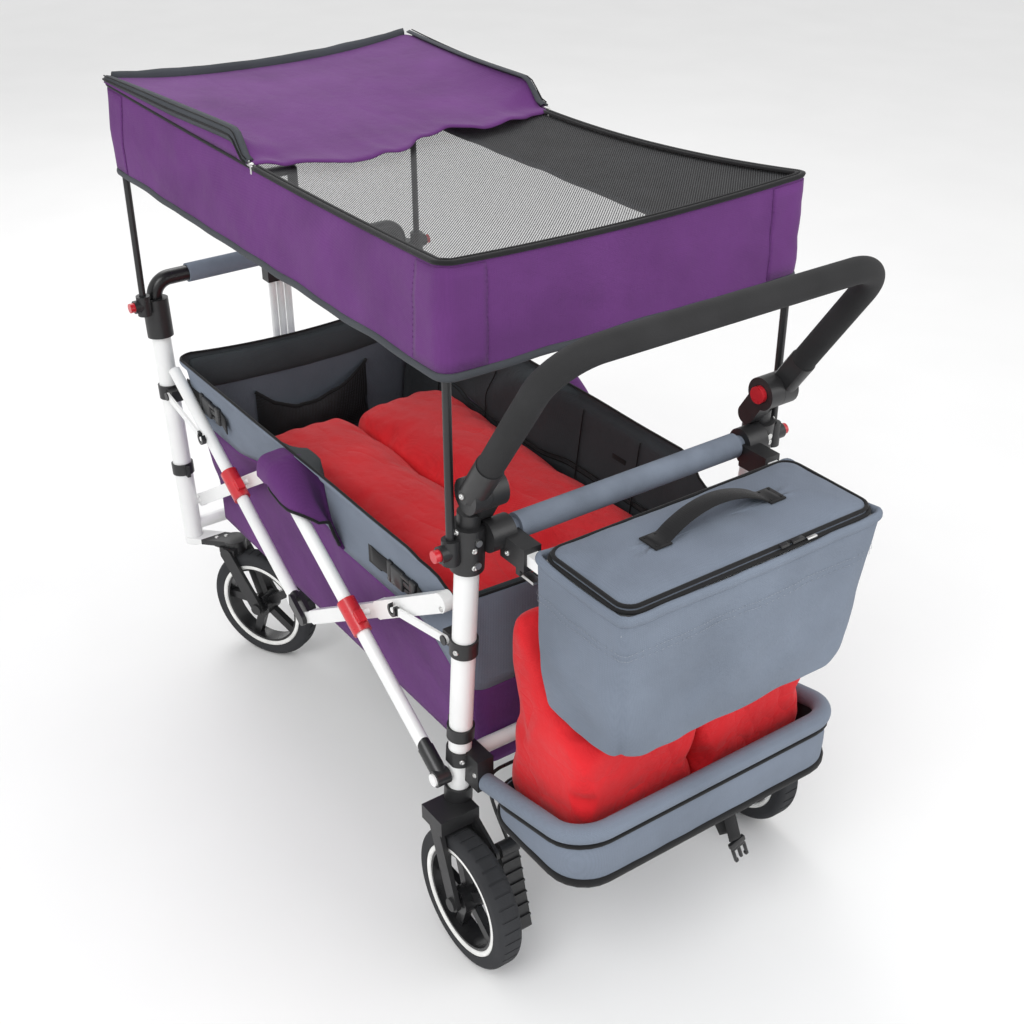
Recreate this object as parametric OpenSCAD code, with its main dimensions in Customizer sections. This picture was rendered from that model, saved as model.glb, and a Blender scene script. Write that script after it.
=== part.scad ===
// Folding stroller wagon with canopy, push handle, pull handle, cooler bag and rear basket.
// X points to the pull handle end, Y to the left side, Z up; the ground is z = 0.
// The origin lies under the middle of the whole wagon; sizes along X are from the middle of the posts.

/* [Frame] */
// Half of the distance between the left and right posts
post_half_y = 240; // [220:1:260]
// Distance of each post from the middle at the height of the lower bar pivots
post_half_x = 441; // [420:1:460]
// Lean of the posts away from the middle, in degrees
post_lean = 4.8; // [3:0.1:6]
// Outer radius of a post tube
post_r = 16; // [14:0.5:17]
// Wall of a post tube
post_wall = 2; // [1.5:0.1:3]
// Height of the lower bar pivots
pivot_z = 288; // [280:1:296]
// Rise from the lower to the upper pivots of the crossed bars
bar_rise = 278; // [260:1:290]
// Radius of the round bars
bar_r = 10; // [8:0.5:10.5]
// Height of the flat bars
flat_h = 22; // [18:1:24]
// Radius of the cross tubes
cross_r = 11; // [9:0.5:12]

/* [Wheels] */
// Radius of every wheel
wheel_r = 105; // [98:1:108]
// Width of a rear tyre
rear_tyre_w = 38; // [32:1:40]
// Width of a front tyre
front_tyre_w = 34; // [30:1:36]
// Distance of the rear wheel planes from the middle
rear_wheel_y = 261; // [258:1:266]
// Distance of the rear axles behind the middle
rear_axle_x = 494; // [485:1:505]
// Distance of the swivel axes in front of the middle
swivel_x = 380; // [370:1:390]
// Distance of the swivel axes from the middle plane
swivel_y = 187; // [180:1:192]
// Trail of the front wheels behind their swivel axes
trail = 58; // [54:1:64]
// Turn of the front wheels as they stand, in degrees
caster_turn = 27; // [0:1:35]
// Radius of the axles
axle_r = 5; // [4:0.5:6]

/* [Canopy] */
// Back edge of the canopy, behind the middle
canopy_back = 486; // [484:1:500]
// Front edge of the canopy, ahead of the middle
canopy_front = 472; // [466:1:490]
// Half width of the canopy
canopy_half_y = 277; // [276:1:290]
// Height of the canopy's top edge
canopy_top = 1036; // [1020:1:1060]
// Height of the cloth band round the canopy
valance_h = 135; // [120:1:150]
// Front edge of the see-through mesh
mesh_front_x = 45; // [0:1:100]
// Radius of a canopy pole
pole_r = 5.5; // [5:0.1:6]
// Distance of the poles from the middle plane
pole_y = 267; // [265:1:270]

/* [Push handle] */
// Distance of the handle pivots behind the middle
hub_x = 500; // [495:1:506]
// Height of the handle pivots
hub_z = 752; // [746:1:760]
// Radius of a handle pivot
hub_r = 23; // [21:0.5:24]
// Reach of the handle from its pivots to the grip
handle_reach = 273; // [255:1:285]
// Angle of the handle above level, in degrees
handle_angle = 56; // [50:1:62]
// Radius of the foam grip
grip_r = 16.5; // [14:0.5:18]
// Radius of the handle's bends
handle_bend = 62; // [50:1:75]

/* [Pull handle] */
// Distance of the pull handle's pivot ahead of the middle
pull_x = 470; // [466:1:474]
// Height of the pull handle's pivot
pull_z = 245; // [240:1:250]
// Height of the top of the three rails
rail_top = 648; // [600:1:660]
// Height of the loop grip's lower bar
loop_z = 792; // [770:1:800]
// Height of the loop grip
loop_h = 46; // [40:1:60]
// Half width of the loop grip
loop_half_y = 42; // [36:1:50]

/* [Bag and basket] */
// Back face of the cooler bag, behind the middle
bag_back = 736; // [720:1:745]
// Front face of the cooler bag, behind the middle
bag_front = 562; // [556:1:570]
// Half width of the cooler bag
bag_half_y = 210; // [209:1:214]
// Height of the cooler bag's bottom
bag_low = 460; // [450:1:475]
// Height of the cooler bag's rim
bag_rim = 678; // [677:0.5:680]
// Rise of the padded lid over the rim
lid_h = 16; // [10:1:20]
// Side of the square tube that carries the cooler bag
square_w = 16; // [14:1:16]
// Length of the basket tube from its hinges to the back
basket_len = 205; // [190:1:215]
// Rise of the basket tube to the back, in degrees
basket_tilt = 12; // [8:0.5:14]
// Half width of the basket tube
basket_half_y = 228; // [222:1:232]
// Radius of the padded basket tube
basket_r = 13; // [11:0.5:14]
// Height of the basket's cloth bottom
basket_low = 250; // [244:1:262]

/* [Tub] */
// Front face of the tub, ahead of the middle
tub_front_x = 415; // [405:1:418]
// Half width of the tub at its bottom
tub_low_y = 190; // [180:1:194]
// Half width of the tub at its rim
tub_high_y = 206; // [198:1:207]
// Height of the tub's bottom
tub_low = 262; // [259:1:268]
// Height of the tub's rim
tub_rim = 588; // [585:1:592]
// Thickness of the tub's cloth walls
cloth = 4; // [3:0.5:5]
// Length of the bed cushion
bed_len = 690; // [600:10:700]
// Height of the bed cushion
bed_h = 228; // [150:1:232]

/* [Hidden] */
$fn = 48;

// Overrun of every cut
cut = 1;
// Running clearance of pins and shafts
run = 0.08;
// Gap between pieces that only pass each other
gap = 0.4;
// Gap of a piece that sits in another
seat = 0.1;
// Growth of a flat bar's round ends over its edges
end_grow = 0.4;

// Frame tube ends
rear_post_low = 238;
rear_post_top = 690;
front_post_low = 211;
front_post_top = 664;
rear_cross_z = 310;

// Layers of the crossed bars, from the middle plane outwards
flat_b_in = 209;
flat_t = 10;
mid_y = 240;
flat_d_t = 12;
outer_y = 269;
pivot_r = 6;
cross_pin_r = 5;
pivot_head_r = 9;
pivot_head_t = 3;
eye_r = 12;
fork_cheek_t = 7;
fork_gap = 7;
fork_len = 36;
fork_h = 20;
mid_pin_r = 4;
tongue_t = 5;
tongue_h = 18;
tongue_len = 46;
main_start = 42;
tube_start = 34;
bar_end_short = 18;
cap_len = 46;
cap_grow = 1.4;
sleeve_start_x = 252;
sleeve_grow_h = 5;
sleeve_grow_t = 4;
clip_len = 54;
clip_wall = 4;
tab_w = 12;
tab_len = 18;
tab_h = 7;

// Struts that lock the frame open
strut_x = 436;
strut_z = 507;
strut_catch_x = 306;
strut_y0 = 251;
strut_t = 4;
strut_h = 12;
strut_pin_r = 4;
strut_head_r = 7;
strut_head_t = 2;
catch_r = 10;
catch_bore = 5.6;
catch_y0 = 250.5;
catch_t = 7;
lug_w = 20;
lug_h = 20;
collar_grow = 3;
collar_h = 24;
park_z = 350;
park_h = 20;

// Rear castings
cast_r = 22;
cast_low = 632;
cast_top = 697;
front_cast_low = 606;
front_cast_top = 672;
rear_pole_x = 476;
front_pole_x = 455;
socket_r = 11.5;
socket_low = 650;
socket_floor = 655;
socket_top = 684;
front_socket_rise = 4;
button_r = 8;
button_z = 667;
button_boss_r = 11;
button_boss_end = 284;
button_bore_start = 274.6;
button_start = 279;
button_end = 292;
bar_x = 490;
bar_z = 680;
bar_ring_r = 21;
bar_ring_in = 192;
bar_ring_out = 226;
bar_core_end = 215;
bar_sleeve_r = 17;
bar_sleeve_end = 181;
block_back = 548;
block_front = 500;
block_in = 184;
block_out = 210;
block_low = 652;
block_top = 684;
arm_y = 197;
arm_z = 668;
arm_start = 512;
arm_end = 726;
lever_t = 12;
lever_len = 26;
lever_h = 4;
lever_pin_r = 3;
lever_x = 532;
lever_z = 644;
lever_ear_t = 4;

// Basket hinges
hinge_z0 = 306;
hinge_z1 = 330;
hinge_lug_back = 488;
hinge_lug_low = 278;
basket_z = 292;

// Handle stubs and arms
eye_in = 212;
eye_out = 236;
arm_eye_out = 260.5;
hub_pin_r = 5;
hub_head_r = 9;
stub_r = 15;
stub_rise = 18;
stub_bar_h = 28;
sleeve_r = 18;
sleeve_len = 64;
hub_button_r = 12;
hub_button_start = 205;
hub_button_end = 217;
hub_button_floor = 221.6;

// Rear forks and brakes
crown_r = 20;
crown_top = 262;
bridge_low = 214;
bridge_front = 424;
bridge_back = 474;
leg_w = 24;
leg_t = 7;
leg_gap = 4;
leg_top_x = 450;
leg_top_z = 224;
axle_head_r = 10;
axle_head_t = 4;
pedal_x = 515;
pedal_z = 186;
pedal_in = 197;
pedal_out = 227;
pedal_eye_r = 11;
pedal_tip_x = 549;
pedal_tip_z = 62;
pedal_t = 10;
rib_n = 6;
rib_t = 3;
cable_r = 2.5;
cable_x = 468;
cable_z = 284;
cable_y = 212;
cable_low_x = 478;
cable_low_z = 242;

// Wheels
hub_w_extra = 2;
wheel_hub_r = 20;
rim_out_r = 84;
rim_in_r = 72;
rim_lip = 3;
rim_web_t = 12;
spoke_n = 5;
spoke_w = 15;
tyre_round = 10;
tread_n = 36;
tread_depth = 1.2;
tread_w = 3;

// Front casters
plate_low = 216;
plate_t = 10;
plate_r = 21;
plate_w = 34;
yoke_low = 205;
yoke_r = 21;
swivel_pin_r = 8;
yoke_leg_w = 24;
yoke_leg_t = 7;
yoke_leg_gap = 4.5;
yoke_bridge = 16;
lock_w = 20;
lock_len = 16;
lock_t = 7;
lock_ear = 3;

// Front bar
front_bar_r = 13;
front_bar_bend = 30;
front_sleeve_r = 16;
front_sleeve_end = 178;

// Pull handle
mount_r = 17;
mount_cheek_in = 26;
mount_cheek_out = 34;
mount_h = 24;
pull_pin_r = 5;
pull_eye_r = 11;
pull_eye_half = 25.5;
rail_dx = 20;
rail_r = 6.5;
rail_pitch = 15;
rod_r = 4.5;
rod_low = 300;
foot_h = 22;
foot_low = 252;
foot_half_y = 22;
foot_t = 16;
collar_half_y = 27;
collar_t = 24;
collar_len = 22;
loop_r = 9;
bar_clip_half = 10;
bar_clip_grow = 5;
bar_clip_len = 12;

// Canopy
canopy_wall = 3;
mesh_t = 2;
mesh_drop = 8;
panel_t = 4;
panel_roll_r = 13;
pole_low_gap = 0.4;

// Bag
bag_wall = 4;
bag_corner_r = 26;
lid_edge = 8;
lid_gap = 0.8;

// Basket cloth
basket_bend = 50;
basket_cloth_in = 6;
basket_front_gap = 3;
basket_wall_h = 110;

// Cushions
bed_round = 48;
bed_gap = 3;
bed_side_gap = 4;
bed_back_gap = 5;
stuff_round = 26;
stuff_front = 499;
stuff_gap = 4;
stuff_back = 652;
stuff_half_y = 192;
stuff_front_top = 536;
stuff_back_top = 430;

// Flaps over the upper joints
flap_back = 110;
flap_front = 24;
flap_y = 288;
flap_low = 516;
flap_drop = 8;
flap_t = 3;
roll_r = 6;
// Half width of the tub at its rim and where the sides bend out to it
tub_spread_y = 238;
tub_knee_y = 226;
tub_knee_z = 562;
// Height at which the front of the sides leaves the flat bars
tub_fold_z = 506;
// Ends of the narrow part of the sides beside the upper joints
joint_back = 45;
joint_front = 130;
// How far the roof cloth hangs in its middle
canopy_hang = 29;
hang_share = 0.9;
hang_step_share = 0.0625;
tub_back_gap = 0.5;
rear_wall_drop = 14;

// Screws
screw_r = 4.5;
screw_t = 2.6;
screw_gap = 0.5;

// Places worked out from the sizes above
function post_x(z) = post_half_x + tan(post_lean) * (z - pivot_z);
upper_z = pivot_z + bar_rise;
pivot_head_y = outer_y + bar_r + cap_grow + gap;
front_bar_base = front_cast_top + front_bar_r * tan(post_lean) + seat;
bar_len = norm([post_half_x, bar_rise]);
bar_angle = atan2(bar_rise, post_half_x);
cross_x = post_half_x / 2;
cross_z = pivot_z + bar_rise / 2;
catch_z = pivot_z + bar_rise * strut_catch_x / post_half_x;
end_x = post_half_x - bar_end_short * cos(bar_angle);
end_z = upper_z - bar_end_short * sin(bar_angle);
flat_b_out = flat_b_in + flat_t;
arm_eye_in = eye_out + gap;
arm_mid_y = (arm_eye_in + arm_eye_out) / 2;
tub_back_x = post_x(rear_cross_z) - cross_r - tub_back_gap;
tub_fold_y = tub_low_y + (tub_high_y - tub_low_y) * (tub_fold_z - tub_low) / (tub_rim - tub_low);
canopy_mid_x = (canopy_front - canopy_back) / 2;
canopy_half_x = (canopy_front + canopy_back) / 2;
function canopy_sink(x) =
    canopy_hang * max(0, 1 - pow((x - canopy_mid_x) / (canopy_half_x * hang_share), 2));
function hang_line(x0, x1, z) = [for (t = [0 : hang_step_share : 1])
    let (x = x0 + (x1 - x0) * t) [x, z - canopy_sink(x)]];
leg_out = rear_wheel_y + rear_tyre_w / 2 + leg_gap;
leg_in = rear_wheel_y - rear_tyre_w / 2 - leg_gap;
rail_x = pull_x + rail_dx;
front_cross_x = post_x(pull_z);
centre_shift = (bag_back - rail_x - rod_r - bar_clip_len) / 2;

// Shared shapes
module centred() {
    translate([centre_shift, 0, 0]) children();
}
module both() {
    children();
    mirror([0, 1, 0]) children();
}
module on_side(s) {
    if (s > 0) children();
    else mirror([0, 1, 0]) children();
}
module along(a, b) {
    d = b - a;
    translate(a) rotate([0, acos(d.z / norm(d)), atan2(d.y, d.x)]) children();
}
module rod(a, b, r) {
    along(a, b) cylinder(h = norm(b - a), r = r);
}
module pin_y(x, z, y0, y1, r) {
    translate([x, y0, z]) rotate([-90, 0, 0]) cylinder(h = y1 - y0, r = r);
}
module box(x0, x1, y0, y1, z0, z1) {
    translate([x0, y0, z0]) cube([x1 - x0, y1 - y0, z1 - z0]);
}
module flat_bar(x0, z0, x1, z1, y0, y1, h, r0 = 0, r1 = 0) {
    translate([0, y1, 0]) rotate([90, 0, 0]) linear_extrude(y1 - y0) {
        translate([x0, z0]) rotate(atan2(z1 - z0, x1 - x0)) translate([0, -h / 2])
            square([norm([x1 - x0, z1 - z0]), h]);
        translate([x0, z0]) circle(r0 > 0 ? r0 : h / 2 + end_grow);
        translate([x1, z1]) circle(r1 > 0 ? r1 : h / 2 + end_grow);
    }
}
module rearward(p, tilt) {
    translate(p) mirror([1, 0, 0]) rotate([0, -tilt, 0]) children();
}
module bent_tube(x0, x1, half_y, bend, r) {
    both() {
        rod([x0, half_y, 0], [x1 - bend, half_y, 0], r);
        translate([x1 - bend, half_y - bend, 0]) rotate_extrude(angle = 90) translate([bend, 0]) circle(r);
    }
    rod([x1, -(half_y - bend), 0], [x1, half_y - bend, 0], r);
}
module rounded_plate(x0, x1, half_y, bend) {
    translate([x0, -half_y]) square([x1 - bend - x0, 2 * half_y]);
    translate([x0, -(half_y - bend)]) square([x1 - x0, 2 * (half_y - bend)]);
    for (s = [-1, 1]) translate([x1 - bend, s * (half_y - bend)]) circle(bend);
}
module post_tube(front, z0, z1, r) {
    s = front ? 1 : -1;
    rod([s * post_x(z0), post_half_y, z0], [s * post_x(z1), post_half_y, z1], r);
}

// White steel tubes of the rear frame
module rear_frame_tubes() {
    color("white") both() {
        difference() {
            union() {
                post_tube(false, rear_post_low, rear_post_top, post_r);
                rod([-post_x(rear_cross_z), 0, rear_cross_z],
                    [-post_x(rear_cross_z), post_half_y, rear_cross_z], cross_r);
            }
            post_tube(false, rear_post_low - cut, rear_post_top + cut, post_r - post_wall);
        }
        pin_y(-post_half_x, pivot_z, post_half_y, outer_y + eye_r, pivot_r);
        pin_y(-post_half_x, pivot_z, pivot_head_y, pivot_head_y + pivot_head_t, pivot_head_r);
    }
}

// Black castings on the rear posts, with the collars, strut lugs and basket hinges
module rear_fittings() {
    color("#1c1c1e") both() {
        difference() {
            union() {
                post_tube(false, cast_low, cast_top, cast_r);
                pole_socket(-rear_pole_x, 0);
                pin_y(-bar_x, bar_z, bar_ring_in, bar_ring_out, bar_ring_r);
                box(-block_back, -block_front + cut, block_in, block_out, block_low, block_top);
            }
            post_tube(false, cast_low - cut, rear_post_top, post_r + seat);
            socket_bores(-rear_pole_x, 0);
            pin_y(-bar_x, bar_z, block_in - cut, bar_core_end, cross_r + seat);
            box(-block_back - cut, -arm_start + cut, arm_y - square_w / 2 - seat,
                arm_y + square_w / 2 + seat,
                arm_z - square_w / 2 - seat, arm_z + square_w / 2 + seat);
        }
        lever_ears();
        post_collar(false, strut_z - collar_h / 2, strut_z + collar_h / 2);
        strut_lug(-1);
        post_collar(false, park_z, park_z + park_h);
        park_clip(-1);
        difference() {
            union() {
                post_tube(false, hinge_z0, hinge_z1, post_r + collar_grow);
                box(-hinge_lug_back, -post_x(hinge_z0), basket_half_y - basket_r,
                    basket_half_y + basket_r, hinge_lug_low, hinge_z1);
            }
            post_tube(false, hinge_lug_low - cut, hinge_z1 + cut, post_r + seat);
            rod([-post_x(rear_cross_z), 0, rear_cross_z],
                [-post_x(rear_cross_z), post_half_y, rear_cross_z], cross_r + seat);
            pin_y(-post_half_x, pivot_z, basket_half_y, outer_y, eye_r + cut);
            box(-post_x(hinge_z1) - cast_r, -post_x(hinge_z0) + cast_r,
                outer_y - bar_r - cap_grow - gap, outer_y,
                hinge_z0 - 2 * cut, hinge_z1 + 2 * cut);
        }
    }
}
module lever_ears() {
    for (e = [arm_y - lever_t / 2 - gap - lever_ear_t, arm_y + lever_t / 2 + gap])
        box(-lever_x - lever_ear_t, -lever_x + lever_ear_t, e, e + lever_ear_t, lever_z - lever_ear_t,
            block_low);
    pin_y(-lever_x, lever_z, arm_y - lever_t / 2 - gap - cut, arm_y + lever_t / 2 + gap + cut, lever_pin_r);
}
module pole_socket(x, rise) {
    translate([x, pole_y, socket_low + rise]) cylinder(h = socket_top - socket_low, r = socket_r);
    pin_y(x, button_z + rise, pole_y, button_boss_end, button_boss_r);
}
module socket_bores(x, rise) {
    translate([x, pole_y, socket_floor + rise]) cylinder(h = cast_top - socket_floor + 2 * cut,
        r = pole_r + gap);
    pin_y(x, button_z + rise, button_bore_start, button_boss_end + cut, button_r + gap);
}
module post_collar(front, z0, z1) {
    difference() {
        post_tube(front, z0, z1, post_r + collar_grow);
        post_tube(front, z0 - cut, z1 + cut, post_r + seat);
    }
}
module strut_lug(s) {
    difference() {
        box(s > 0 ? strut_x - lug_w / 2 : -post_x(strut_z), s > 0 ? post_x(strut_z) : -strut_x + lug_w / 2,
            mid_y - lug_w / 2, strut_y0 - gap, strut_z - lug_h / 2, strut_z + lug_h / 2);
        post_tube(s > 0, strut_z - collar_h, strut_z + collar_h, post_r + collar_grow - seat);
    }
    pin_y(s * strut_x, strut_z, mid_y, strut_y0 + strut_t + gap, strut_pin_r);
    pin_y(s * strut_x, strut_z, strut_y0 + strut_t + gap, strut_y0 + strut_t + gap + strut_head_t,
        strut_head_r);
}
module park_clip(s) {
    difference() {
        box(s > 0 ? post_x(park_z) - cast_r - collar_grow : -post_x(park_z),
            s > 0 ? post_x(park_z) : -post_x(park_z) + cast_r + collar_grow,
            mid_y - collar_grow, mid_y + collar_grow, park_z, park_z + park_h);
        post_tube(s > 0, park_z - cut, park_z + park_h + cut, post_r + collar_grow - seat);
    }
}

// Padded grey bar between the rear castings
module rear_bar() {
    color("#6c7478") {
        rod([-bar_x, -(bar_core_end - gap), bar_z], [-bar_x, bar_core_end - gap, bar_z], cross_r);
        rod([-bar_x, -bar_sleeve_end, bar_z], [-bar_x, bar_sleeve_end, bar_z], bar_sleeve_r);
    }
}

// Black stubs with the fixed halves of the handle pivots
module handle_stubs() {
    color("#161617") both() {
        post_tube(false, cast_top + seat, cast_top + stub_rise, stub_r);
        difference() {
            union() {
                flat_bar(-post_x(cast_top) - seat, cast_top + stub_bar_h / 2 + cut, -hub_x, hub_z,
                    eye_in, eye_out, stub_bar_h,
                    stub_bar_h / 2, hub_r);
            }
            pin_y(-hub_x, hub_z, eye_in - cut, hub_button_floor, hub_button_r + gap);
        }
        pin_y(-hub_x, hub_z, eye_out - cut, arm_eye_out + gap + cut, hub_pin_r);
        pin_y(-hub_x, hub_z, arm_eye_out + gap, arm_eye_out + gap + pivot_head_t, hub_head_r);
    }
}

// Black rear wheel forks with axles and brake lugs
module rear_forks() {
    color("#1a1a1b") both() {
        difference() {
            union() {
                post_tube(false, bridge_low + cut, crown_top, crown_r);
                box(-bridge_back, -bridge_front, leg_in - leg_t - cut, leg_out + leg_t + cut, bridge_low,
                    rear_post_low);
            }
            post_tube(false, rear_post_low, crown_top + cut, post_r + seat);
        }
        for (y = [leg_in - leg_t, leg_out])
            flat_bar(-leg_top_x, leg_top_z, -rear_axle_x, wheel_r, y, y + leg_t, leg_w);
        pin_y(-rear_axle_x, wheel_r, leg_in - leg_t / 2, leg_out + leg_t / 2, axle_r);
        pin_y(-rear_axle_x, wheel_r, leg_out + leg_t - cut, leg_out + leg_t + axle_head_t, axle_head_r);
        flat_bar(-leg_top_x, leg_top_z, -pedal_x, pedal_z, leg_in - leg_t + cut, leg_in - cut,
            pedal_eye_r * 2);
        pin_y(-pedal_x, pedal_z, pedal_in, leg_in - leg_t / 2, axle_r);
    }
}

// Foot brake pedals, on one line
module brake_pedals() {
    color("#111111") both() difference() {
        union() {
            pin_y(-pedal_x, pedal_z, pedal_in + gap, pedal_out - gap, pedal_eye_r);
            flat_bar(-pedal_x, pedal_z, -pedal_tip_x, pedal_tip_z, pedal_in + gap, pedal_out - gap,
                pedal_t);
            for (i = [1 : rib_n]) translate([-pedal_x, 0, pedal_z])
                rotate([0, -atan2(pedal_tip_z - pedal_z, pedal_x - pedal_tip_x), 0])
                box(i * (norm([pedal_tip_x - pedal_x, pedal_z - pedal_tip_z]) / (rib_n + 1)),
                    i * (norm([pedal_tip_x - pedal_x, pedal_z - pedal_tip_z]) / (rib_n + 1)) + rib_t,
                    pedal_in + gap, pedal_out - gap, -pedal_t / 2 - rib_t, pedal_t / 2 + rib_t);
        }
        pin_y(-pedal_x, pedal_z, pedal_in, pedal_out, axle_r + run);
    }
}

// Brake cable between the two pedals
module brake_cable() {
    route = [
        [-pedal_x, cable_y, pedal_z + pedal_eye_r + cable_r],
        [-cable_low_x, cable_y, cable_low_z],
        [-cable_x, cable_y, cable_z],
        [-cable_x, -cable_y, cable_z],
        [-cable_low_x, -cable_y, cable_low_z],
        [-pedal_x, -cable_y, pedal_z + pedal_eye_r + cable_r]
    ];
    color("#101010") {
        for (i = [0 : 4]) rod(route[i], route[i + 1], cable_r);
        for (i = [1 : 4]) translate(route[i]) sphere(cable_r + seat * 4);
    }
}

// Grey padded tube of the rear basket
module basket_tube() {
    color("#6f777b") rearward([-hinge_lug_back - seat, 0, basket_z], basket_tilt)
        bent_tube(basket_r * tan(basket_tilt), basket_len, basket_half_y, basket_bend, basket_r);
}

// Cloth tray of the rear basket
module basket_fabric() {
    back = hinge_lug_back + basket_len * cos(basket_tilt) + basket_cloth_in;
    half = basket_half_y + basket_cloth_in;
    bend = basket_bend + basket_cloth_in;
    color("#6b7377") intersection() {
        translate([0, 0, basket_low]) mirror([1, 0, 0]) difference() {
            linear_extrude(basket_wall_h) rounded_plate(hinge_lug_back + basket_front_gap, back, half,
                bend);
            translate([0, 0, cloth]) linear_extrude(basket_wall_h)
                rounded_plate(hinge_lug_back + basket_front_gap + cloth, back - cloth, half - cloth,
                    bend - cloth);
        }
        rearward([-hinge_lug_back - seat, 0, basket_z], basket_tilt)
            box(-basket_len, 2 * basket_len, -2 * half, 2 * half, -basket_len, -basket_r - seat);
    }
}

// Red stuffed cushion in the rear basket, with a hump in front of the cooler bag
module basket_cushion() {
    low = basket_low + cloth + stuff_round + gap;
    top = bag_low - stuff_gap - stuff_round;
    ys = [bed_gap + stuff_round, stuff_half_y - stuff_round];
    color("#c8102e") both() {
        hull() for (y = ys) {
            translate([-stuff_front - stuff_round, y, low]) sphere(stuff_round, $fn = 24);
            translate([-stuff_front - stuff_round, y, top]) sphere(stuff_round, $fn = 24);
            translate([-stuff_back + stuff_round, y, stuff_back_top - stuff_round])
                sphere(stuff_round, $fn = 24);
            translate([-stuff_back + stuff_round, y, low]) sphere(stuff_round, $fn = 24);
        }
        hull() for (y = ys) {
            translate([-stuff_front - stuff_round, y, top]) sphere(stuff_round, $fn = 24);
            translate([-stuff_front - stuff_round, y, stuff_front_top - stuff_round])
                sphere(stuff_round, $fn = 24);
        }
    }
}

// Length of a tub side with one cross shape
module side_run(x0, x1) {
    translate([x0, 0, 0]) rotate([90, 0, 90]) linear_extrude(x1 - x0) children();
}
module rim_roll() { translate([tub_spread_y - cloth / 2, tub_rim]) circle(roll_r); }
// Cloth closing the step at an end of the narrow part
module side_web(x, low_y, low_z) {
    side_run(x, x + cloth) polygon([
        [low_y - cloth / 2, low_z + cloth], [tub_knee_y - seat, tub_knee_z],
        [tub_spread_y - cloth / 2, tub_rim], [tub_high_y - cloth / 2, tub_rim - cloth / 2]
    ]);
}

// Tub sides, wide at the posts and narrow beside the upper joints, with a flap over each joint
module tub_sides() {
    inner_y = tub_high_y - (tub_high_y - tub_low_y) * cloth / (tub_rim - tub_low);
    color("#5b2a6e") both() {
        side_run(-tub_back_x + cloth, -joint_back) {
            polygon([
                [tub_low_y - cloth, tub_low], [tub_low_y, tub_low], [tub_knee_y, tub_knee_z],
                [tub_spread_y, tub_rim], [tub_spread_y - cloth, tub_rim], [tub_knee_y - cloth, tub_knee_z]
            ]);
            rim_roll();
        }
        side_run(-joint_back + gap + cloth / 2, joint_front - gap - cloth / 2) {
            polygon([
                [tub_low_y - cloth, tub_low], [tub_low_y, tub_low], [inner_y, tub_rim - cloth],
                [tub_spread_y - cloth / 2, tub_rim - cloth], [tub_spread_y - cloth / 2, tub_rim],
                [tub_high_y - cloth, tub_rim]
            ]);
            rim_roll();
        }
        side_run(joint_front, tub_front_x - cloth) {
            polygon([
                [tub_low_y - cloth, tub_low], [tub_low_y, tub_low], [tub_fold_y, tub_fold_z],
                [tub_knee_y, tub_knee_z], [tub_spread_y, tub_rim], [tub_spread_y - cloth, tub_rim],
                [tub_knee_y - cloth, tub_knee_z], [tub_fold_y - cloth, tub_fold_z]
            ]);
            rim_roll();
        }
        side_web(-joint_back + gap, tub_low_y, tub_low);
        side_web(joint_front - gap - cloth, tub_fold_y, tub_fold_z);
        side_run(-flap_back, flap_front) polygon([
            [tub_spread_y - cloth / 2, tub_rim + roll_r], [flap_y, tub_rim + roll_r - flap_drop],
            [flap_y + flap_t, flap_low], [flap_y, flap_low],
            [flap_y - flap_t, tub_rim + roll_r - flap_drop - flap_t],
            [tub_spread_y, tub_rim + roll_r - flap_t]
        ]);
    }
}

// Front and rear walls of the tub
module tub_ends() {
    rear_share = (tub_rim - rear_wall_drop - tub_knee_z) / (tub_rim - tub_knee_z);
    color("#4b5256") {
        end_wall(tub_front_x - cloth + seat, cloth - seat, [
            [tub_low_y, tub_low], [tub_fold_y, tub_fold_z], [tub_knee_y, tub_knee_z],
            [tub_spread_y, tub_rim + roll_r]
        ]);
        end_wall(-tub_back_x, cloth - seat, [
            [tub_low_y, tub_low], [tub_knee_y, tub_knee_z],
            [tub_knee_y + (tub_spread_y - tub_knee_y) * rear_share, tub_rim - rear_wall_drop]
        ]);
    }
}
module end_wall(x, t, edge) {
    last = len(edge) - 1;
    side_run(x, x + t) polygon(concat(edge, [for (i = [last : -1 : 0]) [-edge[i][0], edge[i][1]]]));
}

// Floor of the tub
module tub_floor() {
    color("#3d4245") box(-tub_back_x + cloth + seat, tub_front_x - cloth - seat,
        -(tub_low_y - cloth - seat), tub_low_y - cloth - seat,
        tub_low, tub_low + cloth);
}

// Red bed cushion of two long lobes
module bed_cushion() {
    x0 = -tub_back_x + cloth + bed_back_gap;
    color("#d0202f") both() hull() {
        for (x = [x0 + bed_round, x0 + bed_len - bed_round])
            for (z = [tub_low + cloth + bed_round + seat, tub_low + cloth + bed_h - bed_round]) {
                translate([x, bed_gap + bed_round, z]) sphere(bed_round, $fn = 24);
                translate([x, tub_low_y - cloth - bed_side_gap - bed_round, z]) sphere(bed_round, $fn = 24);
            }
    }
}

// Screws on the castings
module frame_screws() {
    color("silver") both() {
        for (z = [cast_low + screw_r * 3, cast_top - screw_r * 4])
            rod([-post_x(z) - cast_r - screw_gap, post_half_y, z],
                [-post_x(z) - cast_r - screw_gap - screw_t, post_half_y, z], screw_r);
    }
}

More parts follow.
